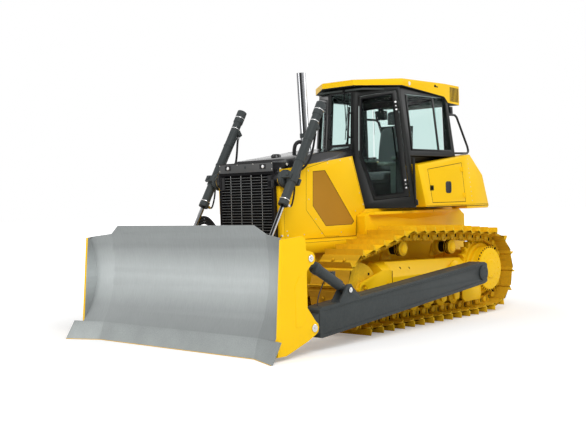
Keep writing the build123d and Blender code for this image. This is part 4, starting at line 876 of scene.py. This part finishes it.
guard = dress("nose_frame", gloss_black, "charcoal_paint", 0)
skin(guard, "nose_lamp_bar", on_lamp_bar, 1.0, 0, nose_grey, "charcoal_paint")
skin(guard, "nose_cheeks", on_cheek, 1.2, 0.005, yellow, "yellow_paint")
dress("radiator_core", dull_black, "black_paint")
dress("grille_door", dull_black, "charcoal_paint", 0.001)
slats = []
for k in range(25):
    z, reach = 1036 + 32 * (k + 0.5), 408 if 4 <= k <= 19 else 345
    slats.append(block((nose_front - 7, -reach, z - 2), (nose_front - 2, reach, z + 2)))
bars = [block((nose_front - 8, y - 2, 1032), (nose_front - 6, y + 2, 1850)) for y in (-252, -84, 84, 252)]
for parts, name, material in ((slats, "grille_slats", slat_steel), (bars, "grille_bright_bars", bar_steel)):
    fit(close(join(parts, name), 0.0012, 1), "grille_door", material, "charcoal_paint")
gussets = [press(block((nose_front - 8, side * 352, z0), (nose_front - 1.5, side * 424, z1)), ahead_of_nose, 10, 2)
           for side in (1, -1) for z0, z1 in ((1836, 1684), (1036, 1162))]
put(gussets, "grille_corner_plates", gloss_black, "charcoal_paint", 0.001, "grille_door")
hinges = []
for z in (1150, 1740):
    hinges.append(block((nose_front + 1, 428, z - 38), (nose_front + 20, 466, z + 38)))
    hinges.append(rod((nose_front + 18, 448, z - 46), (nose_front + 18, 448, z + 46), 12))
put(hinges, "grille_hinges", gloss_black, "black_paint", 0.002)
put([strip((nose_front, -436, 1931), (nose_front, 436, 1931), ahead_of_nose, 98, 1.6)],
    "nose_lamp_plate", nose_grey, "charcoal_paint", 0.001)
bezels, lenses = [], []
lamp_y, lamp_height = 285, 1940
for y in (-lamp_y, lamp_y):
    bezel = block((nose_front - 8, y - 47, lamp_height - 27), (nose_front + 8, y + 47, lamp_height + 27))
    bezels.append(close(press(bezel, ahead_of_nose, 7, 4), 0.0015))
    lenses.append(turning((nose_front, y, lamp_height), (nose_front + 9, y, lamp_height),
                          [(0, 19), (5, 19), (9, 12)], 28))
put(bezels, "nose_lamp_bezels", gloss_black, "lamp")
put(lenses, "nose_lamp_lenses", lens_white, "lamp")
put([turning((nose_front - 1, 0, lamp_height), (nose_front + 3, 0, lamp_height), [(0, 17), (3, 17), (4, 14)], 28)],
    "nose_blank_plate", charcoal, "charcoal_paint")
nose_screws = both_hands([(nose_front, y, z) for y, z in ((425, 1974), (425, 1908), (130, 1974))], 0.006,
                         ahead_of_nose)
nose_screws += both_hands([(x, panel_face, z) for x, z in ((3328, 1905), (3219, 1959), (3240, 1150), (3330, 1150))],
                          0.011)
screws("nose_screws", nose_screws, zinc, "charcoal_paint")


# ------------------------ engine bay
# A glossy black bonnet over yellow side panels. Each panel is bolted round its rim and
# has a six-sided screen of punched sheet, and a bright exhaust stack stands on the bonnet.
iron = finish_of("engine_iron", (0.10, 0.10, 0.11), 0.6, 0.2)
seam_black = finish_of("seam_rubber", (0.012, 0.011, 0.008), 0.7, 0.1)
bonnet_black = finish_of("bonnet_black", (0.012, 0.012, 0.013), 0.16, 0.02, 0.02, feeds={
    "Dust Color": (0.12, 0.12, 0.12, 1), "Tone": 0.2, "Dust Height": 4.0},
    Specular_IOR_Level=0.3, Coat_Weight=0.12, Coat_Roughness=0.05)
dress("engine_block", iron, "cast_iron", 0.01)
dress("hood_top", bonnet_black, "black_paint", 0.008)
dress("side_panels", yellow, "yellow_paint")


def punched_sheet():
    """Mustard sheet with rows of small dark holes."""
    material = finish_of("punched_sheet", (0.43, 0.21, 0.018), 0.6, 0.2, 0.1)
    tree = material.node_tree
    cells = node(tree, "TexVoronoi", {"Vector": place_in(tree), "Scale": 130.0, "Randomness": 0.0})
    return shade(material, ranged(tree, cells.outputs["Distance"], 0.30, 0.36, 0.25, 1.0))


screen_outline = [(2779, 1879), (2565, 1891), (2043, 1273), (2085, 1238), (2571, 1236), (2795, 1478), (2779, 1879)]
panel_runs = [[(2500, 2008), (2896, 1916), (2915, 1432), (2594, 1114), (2330, 1104)], [(2966, 1946), (3292, 1905)],
              [(1990, 1340), (2010, 1096), (3286, 1096)], [(3288, 1100), (3288, 1900)], [(2060, 2062), (1830, 1420)]]
screens, rims = [], []
for side in (1, -1):
    sheet = cut(block((2000, 490 * side, 1200), (2850, 498.5 * side, 1920)), *(
        (((x0 + x1) / 2, 0, (z0 + z1) / 2), (z1 - z0, 0, x0 - x1))
        for (x0, z0), (x1, z1) in zip(screen_outline, screen_outline[1:])))
    screens.append(press(sheet, (0, side, 0), 4, 1.5))
    rims += seam(screen_outline, panel_face * side, 5)
    for run in panel_runs:
        rims += seam(run, panel_face * side, 4)
put(screens, "side_screens", punched_sheet(), "yellow_paint", 0)
put(rims, "side_panel_seams", seam_black, "dark_plastic", 0)
panel_bolts = [(x, panel_face, z) for x, z in (
    (2860, 1887), (2866, 1554), (2752, 1321), (2514, 1978), (2281, 2014), (2090, 2032), (1925, 1618), (1860, 1476),
    (3250, 1200), (3250, 1500), (2960, 1150), (2650, 1150), (2290, 1150), (2010, 1400))]
screws("side_panel_bolts", both_hands(panel_bolts, 0.0075), zinc, "yellow_paint")
put([turning((2871, 0, 2070), (2871, 0, 2103), [(0, 52), (22, 52), (26, 46), (33, 40)], 28),
     hose([(2596, 44, 2095), (2598, 48, 2170), (2580, 60, 2236), (2530, 92, 2262), (2500, 112, 2230)], 24)],
    "bonnet_cap_and_elbow", gloss_black, "black_paint")
loop = ((3340, -498, 1150), (3380, -600, 1330), (3400, -735, 1390), (3390, -880, 1310), (3350, -900, 1120),
        (3280, -760, 1040), (3240, -498, 1060))
put([hose([(x, y, z - drop) for x, y, z in loop], 17) for drop in (0, 34, 68)],
    "nose_hose_loops", rubber, "dark_plastic")
put([strip((x, -398, z), (x, 398, z), (0.14, 0, 1), 5, 0.6)
     for x, z in ((x, 1993 + (nose_front - x) * 200 / 1413) for x in (2980, 2230))],
    "bonnet_seams", seam_black, "dark_plastic", 0)
# The stack's long dark and light bands are painted reflections.
stack_steel = bright_tube("stack_steel", (0.62, 0.63, 0.65), (2469, 120, 2250), Vector((-0.676, 0.737, 0.0405)), 56)
dress("exhaust_stack", stack_steel, "chrome", 0.002)
put([turning((2474, 120, 2300), (2478, 120, 2360), [(0, 56), (4, 62), (56, 62), (60, 56)], 36),
     block((2440, 60, 2240), (2452, 176, 2330))], "exhaust_clamp", charcoal, "charcoal_paint", 0.002)


# ------------------------ fenders
# Sheet steel tanks over the tracks, each with a flush hinged door that has a paddle latch
# and a bare plate, and a row of screws along the rear seam.
def pick_edges(piece, wanted):
    """Selects the edges whose direction is the wanted one."""
    mesh = bmesh.from_edit_mesh(piece.data)
    for edge in mesh.edges:
        start, end = (vertex.co for vertex in edge.verts)
        edge.select_set(bool(wanted((end - start).normalized())))
    bmesh.update_edit_mesh(piece.data)


fender_face = 870
dress("fender_tanks", yellow, "yellow_paint", 0.010)
for name, side in sides:
    door, face = "service_door_" + name, fender_face * side
    dress(door, yellow, "yellow_paint", 0.004)
    latch = press(block((856, face - 2 * side, 1628), (934, face + 4 * side, 1692)), (0, side, 0), 8, 4)
    put([latch, block((872, face - 2 * side, 1640), (896, face + 8 * side, 1680))],
        "door_latch_" + name, seam_black, "dark_plastic", 0.0015, door)
    blank = press(block((446, face - side, 1590), (576, face + 4 * side, 1744)), (0, side, 0), 8, 2)
    edit(blank)
    pick_edges(blank, lambda along: abs(along.y) > 0.9)
    bpy.ops.mesh.bevel(offset=0.034, segments=6, affect="EDGES")
    bpy.ops.object.mode_set(mode="OBJECT")
    put([blank], "blank_plate_" + name, gloss_black, "dark_plastic", 0.001, door)
# The runs at heights 1432 and 1412 paint the shadow line under the fender's lower edge.
fender_seams_and_shadow = []
for side in (1, -1):
    for run, y, width, proud in (
            ([(880, 1470), (980, 1900), (190, 1992), (105, 1470), (880, 1470)], fender_face - 0.4, 5, 0.4),
            ([(1024, 1432), (60, 1432), (-470, 1432)], fender_face, 4, 0.4),
            ([(-470, 1412), (1030, 1412)], fender_face - 4, 8, 5)):
        fender_seams_and_shadow += seam(run, y * side, width, proud)
put(fender_seams_and_shadow, "fender_seams_and_shadow", seam_black, "dark_plastic", 0)
screws("fender_screws", both_hands([(40 - k * 11, fender_face, 2040 - k * 62) for k in range(10)], 0.006),
       zinc, "yellow_paint")
put([turning((-60, y, 2070), (-60, y, 2110), [(0, r), (30, r), (34, r - 4), (40, r - 12)], 28)
     for y, r in ((745, 52), (-745, 40))], "filler_caps", gloss_black, "black_paint")


# ------------------------ cab
# A welded frame in black, glazed all round, under a yellow roof with a louvred rear corner.
# Wide doors open from the rear posts; a seat stands between two consoles inside.
cab_black = finish_of("cab_black", (0.008, 0.009, 0.0085), 0.30, 0.02, 0.03, feeds={
    "Dust Color": (0.12, 0.12, 0.12, 1), "Tone": 0.15, "Dust Height": 4.0}, Specular_IOR_Level=0.16)
lining = finish_of("cab_lining", (0.060, 0.070, 0.066), 0.85, 0.05, 0.25, 0.001)
dress("cab_frame", cab_black, "black_paint", 0.006, less=block((150, -634, 2148), (420, 634, 2862)))


def under_roof(middle, normal):
    """True for the roof's underside and the inner faces of its skirts."""
    return normal.z < -0.5 or middle.z < 2.9 and (normal.y * middle.y < -0.5 or normal.x > 0.9)


skin(dress("cab_roof", yellow, "yellow_paint", 0), "roof_lining", under_roof, 2, 0.016, lining, "dark_plastic")


def glass_of(name, low, high):
    """Tinted glass with faint films of dirt."""
    material = bpy.data.materials.new(name)
    material.use_nodes = True
    tree = material.node_tree
    pane = tree.nodes["Principled BSDF"].inputs
    pane["Transmission Weight"].default_value, pane["IOR"].default_value = 1.0, 1.08
    film = node(tree, "TexNoise", {"Vector": place_in(tree), "Scale": 2.5, "Detail": 5.0}).outputs["Fac"]
    tint = node(tree, "Mix", {0: film, 6: low, 7: high}, data_type="RGBA")
    tree.links.new(tint.outputs[2], pane["Base Color"])
    tree.links.new(ranged(tree, film, 0.4, 0.7, 0.01, 0.05), pane["Roughness"])
    return material


glazing = glass_of("cab_glazing", (0.74, 0.87, 0.85, 1), (0.82, 0.92, 0.90, 1))
frame["nodes"]["cab_glass"].data.materials.clear()
frame["nodes"]["cab_glass"].data.materials.append(glazing)
post_foot, post_head, screen_foot = Vector((1253, 835, 1565)), Vector((1270, 675, 2945)), Vector((1709, 250, 1565))
door_up = (post_head - post_foot).normalized()
door_out = (screen_foot - post_foot).cross(door_up).normalized()
door_out *= 1 if door_out.y > 0 else -1
door_along = ((screen_foot - post_foot) - (screen_foot - post_foot).dot(door_up) * door_up).normalized()
pane_outline = [(112, 56), (472, 56), (584, 603), (498, 1302), (112, 1317), (112, 56)]


def on_door(along, height, out, side=1):
    """A place on the cab door: distance from its rear post, height up it and distance off it."""
    place = post_foot + door_along * along + door_up * height + door_out * out
    return place.x, place.y * side, place.z


def door_prism(grow, back, front, side):
    """The cab door's opening as a solid between two distances off the door, grown or shrunk all round."""
    outward = Vector((door_out.x, door_out.y * side, door_out.z))
    planes = [(on_door(0, 0, front, side), outward), (on_door(0, 0, back, side), -outward)]
    for (u0, v0), (u1, v1) in zip(pane_outline, pane_outline[1:]):
        off = (door_along * (v1 - v0) + door_up * (u0 - u1)).normalized()
        place = post_foot + door_along * u0 + door_up * v0 + off * grow
        planes.append(((place.x, place.y * side, place.z), (off.x, off.y * side, off.z)))
    return cut(block((1100, 100 * side, 1450), (1900, 950 * side, 3050)), *planes)


for name, side in sides:
    door, out_of_door = "cab_door_" + name, (door_out.x, door_out.y * side, door_out.z)
    dress(door, cab_black, "black_paint", 0.005, less=door_prism(0, -80, 20, side))
    pane = join([door_prism(6, -34, -28, side)], "door_pane_" + name)
    fit(close(pane, 0.0005), door, glazing, "glass", "cab_door_glass_" + name)
    seals_and_shadow_rings = [strip(on_door(u0, v0, 0, side), on_door(u1, v1, 0, side), out_of_door, 16, 3)
             for (u0, v0), (u1, v1) in zip(pane_outline, pane_outline[1:])]
    handle = hose([on_door(*place, side) for place in (
        (520, 520, 2), (520, 522, 40), (526, 600, 44), (530, 700, 40), (530, 702, 2))], 9)
    put(seals_and_shadow_rings + [handle], "door_seals_" + name, dull_black, "dark_plastic", 0, door)
    screws("door_hinge_screws_" + name, [
        facing(at(*on_door(78, height + step, 13.5 if step else 14.5, side)), out_of_door, 0.008)
        for height in (160, 1160) for step in (-48, 0, 48)], steel, "black_paint", door)
    put([hose([on_door(150, height, out, side) for height, out in (
        (420, -70), (420, -110), (900, -110), (900, -70))], 10)],
        "door_inner_rail_" + name, dull_black, "dark_plastic", body=door)


def on_screen(y, z):
    """A place on the windscreen, which leans back as it rises."""
    return 1709 - 96 * (z - 1565) / 1380, y, z


trim = []
for side in (1, -1):
    for x0, y0, z0, x1, y1, z1, width, proud in (
            (596, 702, 2846, 584, 776, 2160, 34, 7), (1160, 688, 2858, 1168, 770, 2150, 22, 6),
            (280, 770, 2152, 1168, 770, 2152, 20, 6)):
        trim.append(strip((x0, y0 * side, z0), (x1, y1 * side, z1), (0, side, 0.12), width, proud))
    trim.append(rod((1228, 838 * side, 1500), (1240, 838 * side, 2040), 17))
    trim.append(turning((1219, 846 * side, 1440), (1221, 846 * side, 1520),
                        [(0, 20), (8, 30), (60, 30), (80, 18)], 20))
    trim.append(block((1060, 628 * side, 1416), (1236, 700 * side, 1470)))
for y0, z0, y1, z1 in ((-176, 2240, 176, 2240), (-168, 2900, 168, 2900), (-176, 2240, -168, 2900),
                       (176, 2240, 168, 2900)):
    trim.append(strip(on_screen(y0, z0), on_screen(y1, z1), (1, 0, 0.07), 16, 5))
put(trim, "cab_window_trim", cab_black, "black_paint", 0.002)
put([rod((1634, 60, 2930), (1676, 120, 2420), 6), rod((1655, 150, 2900), (1690, 105, 2300), 5),
     turning((1612, 60, 2934), (1650, 60, 2934), [(0, 22), (30, 22), (38, 14)], 20)],
    "windscreen_wiper", dull_black, "dark_plastic")
headliner = cut(block((262, -640, 2918), (1640, 640, 2944)), *(
    ((1240, 612 * side, 2930), (0.53, 0.85 * side, 0)) for side in (1, -1)))
put([press(headliner, (0, 0, -1), 50, 12)], "cab_headliner", lining, "dark_plastic", 0.006)
slats, louvre_shadow = [], []
for side in (1, -1):
    corner, along_roof = Vector((300, 712 * side, 0)), Vector((-450, -72 * side, 0)).normalized()
    face_out = (-0.158, 0.987 * side, 0)
    for k in range(7):
        x, y, _ = corner + along_roof * (172 + 43 * k)
        slats.append(strip((x, y, 2832), (x + 6, y, 3018), face_out, 15, 2))
    x, y, _ = corner + along_roof * 296
    louvre_shadow.append(strip((x, y, 2830), (x, y, 3020), face_out, 292, 0.8))
put(slats, "roof_louvre_slats", yellow, "yellow_paint", 0.002)
# A black strip behind the slats paints the shade in the louvre's slots.
put(louvre_shadow, "roof_louvre_shadow", dull_black, "dark_plastic", 0)
put([hub(1122, y, 2998, [(0, 26), (4, 26), (6, 20)], 24) for y in (716, -716)], "roof_plugs", zinc, "yellow_paint")
put([block((x0, 700 * side, z0), (x1, y1 * side, z1)) for side in (1, -1) for x0, z0, x1, y1, z1 in (
    (470, 2990, 560, 716, 3006), (520, 3002, 556, 718, 3022))], "roof_markers", seam_black, "dark_plastic", 0.002)
put([turning((x, y, 3050), (x, y, 3072), [(0, 16), (16, 14), (22, 8)], 16) for x, y in (
    (1024, 200), (946, 200), (1024, -200))], "roof_aerial_feet", dull_black, "dark_plastic")
put([strip((252, y, 2150), (282, y * 0.985, 2860), (-1, 0, 0.04), 112, 3) for y in (578, -578)],
    "rear_corner_glass", glazing, "glass")


# ------------------------ operator's place
# A sprung seat with cloth cushions, padded armrests, two consoles with levers, and the
# instrument column, all in moulded plastic.
cab_plastic = finish_of("cab_plastic", (0.030, 0.032, 0.031), 0.6, 0.1, 0.2, 0.001)
grey_plastic = finish_of("grey_plastic", (0.17, 0.21, 0.19), 0.5, 0.05, 0.1)
dress("operator_seat", cab_plastic, "seat_fabric", 0.015)
dress("control_console", cab_plastic, "dark_plastic", 0.012)


def seat_cloth():
    """Grey woven cloth: crossed ribs with a soft sheen."""
    material = finish_of("seat_cloth", (0.10, 0.11, 0.11), 0.85, 0.0, 0.5, 0.002, Sheen_Weight=0.4)
    tree = material.node_tree
    ribs = [node(tree, "TexWave", {"Vector": place_in(tree), "Scale": 90.0, "Distortion": 0.6},
                 bands_direction=axis).outputs["Fac"] for axis in "XZ"]
    relief = tree.nodes["Principled BSDF"].inputs["Normal"].links[0].from_node
    tree.links.new(result(tree, "MULTIPLY", *ribs), relief.inputs["Height"])
    return material


cloth = seat_cloth()


def cushion(name, low, high, lean=0.0):
    """A crowned pad: a block cut fine, rounded, drawn in between its corners."""
    pad = block(low, high)
    edit(pad)
    bpy.ops.mesh.select_all(action="SELECT")
    bpy.ops.mesh.subdivide(number_cuts=5, smoothness=0.0)
    bpy.ops.transform.tosphere(value=0.16)
    bpy.ops.mesh.vertices_smooth(factor=0.5, repeat=2)
    bpy.ops.object.mode_set(mode="OBJECT")
    foot = at((low[0] + high[0]) / 2, 0, low[2])
    pad.data.transform(Matrix.Translation(foot) @ Matrix.Rotation(lean, 4, "Y") @ Matrix.Translation(-foot))
    modify(pad, "SUBSURF", levels=2, render_levels=2)
    bpy.ops.object.shade_smooth()
    pad.name = pad.data.name = name
    return fit(pad, "chassis", cloth, "seat_fabric")


cushion("seat_cushion", (505, -262, 1800), (1030, 262, 1905))
cushion("seat_back", (440, -250, 1890), (560, 250, 2530), -0.11)
cushion("seat_headrest", (380, -150, 2535), (490, 150, 2710))
put([close(block((540, y - 34, 2056), (930, y + 34, 2094)), 0.014, 3) for y in (-280, 280)],
    "seat_armrests", grey_plastic, "dark_plastic")
put([block((1040, 360, 1480), (1100, 600, 2000))], "console_panel", grey_plastic, "dark_plastic", 0.01)
put([block((1100, 372, 1640 + 44 * k), (1112, 590, 1662 + 44 * k)) for k in range(8)],
    "console_louvres", grey_plastic, "dark_plastic", 0.003)
put([close(block((900, 380 * side, 1968), (1390, 490 * side, 2010)), 0.014, 3) for side in (1, -1)],
    "console_pads", grey_plastic, "dark_plastic")
put([hose([(1430, -60, 2110), (1470, -120, 2200), (1450, -60, 2290)], 9)],
    "column_handle", dull_black, "dark_plastic")
put([rod((1560, 150, 2900), (1540, 150, 2840), 6), close(block((1528, 60, 2740), (1542, 240, 2840)), 0.006, 3)],
    "cab_mirror", cab_plastic, "dark_plastic")


# ------------------------ rails, lamps and rear
# Bent tube rails at the cab's corners, work lamps under the roof, and the bolted face
# and hitch at the rear of the hull.
dress("handrails", gloss_black, "black_paint", 0.0, smooth=50)
dress("lamps", gloss_black, "lamp", 0.006)
put([close(block((-2, 516 * side, 2660), (4, 624 * side, 2740)), 0.002) for side in (1, -1)],
    "work_lamp_lenses", lens_white, "lamp")
hull_bolts = [(-560, y, z) for y in (120, 400) for z in (620, 780, 1000, 1180)]
screws("hull_bolts", both_hands(hull_bolts, 0.014, (-1, 0, 0)), zinc, "yellow_paint")
ledge_seams = []
for side in (1, -1):
    for run, y in (([(1300, 1376), (1300, 1348)], 700), ([(620, 1376), (620, 1348)], 700),
                   ([(1978, 1060), (3140, 1060)], 602)):
        ledge_seams += seam(run, y * side, 4)
put(ledge_seams, "hull_seams", seam_black, "dark_plastic", 0)

bpy.data.objects.remove(bolt)
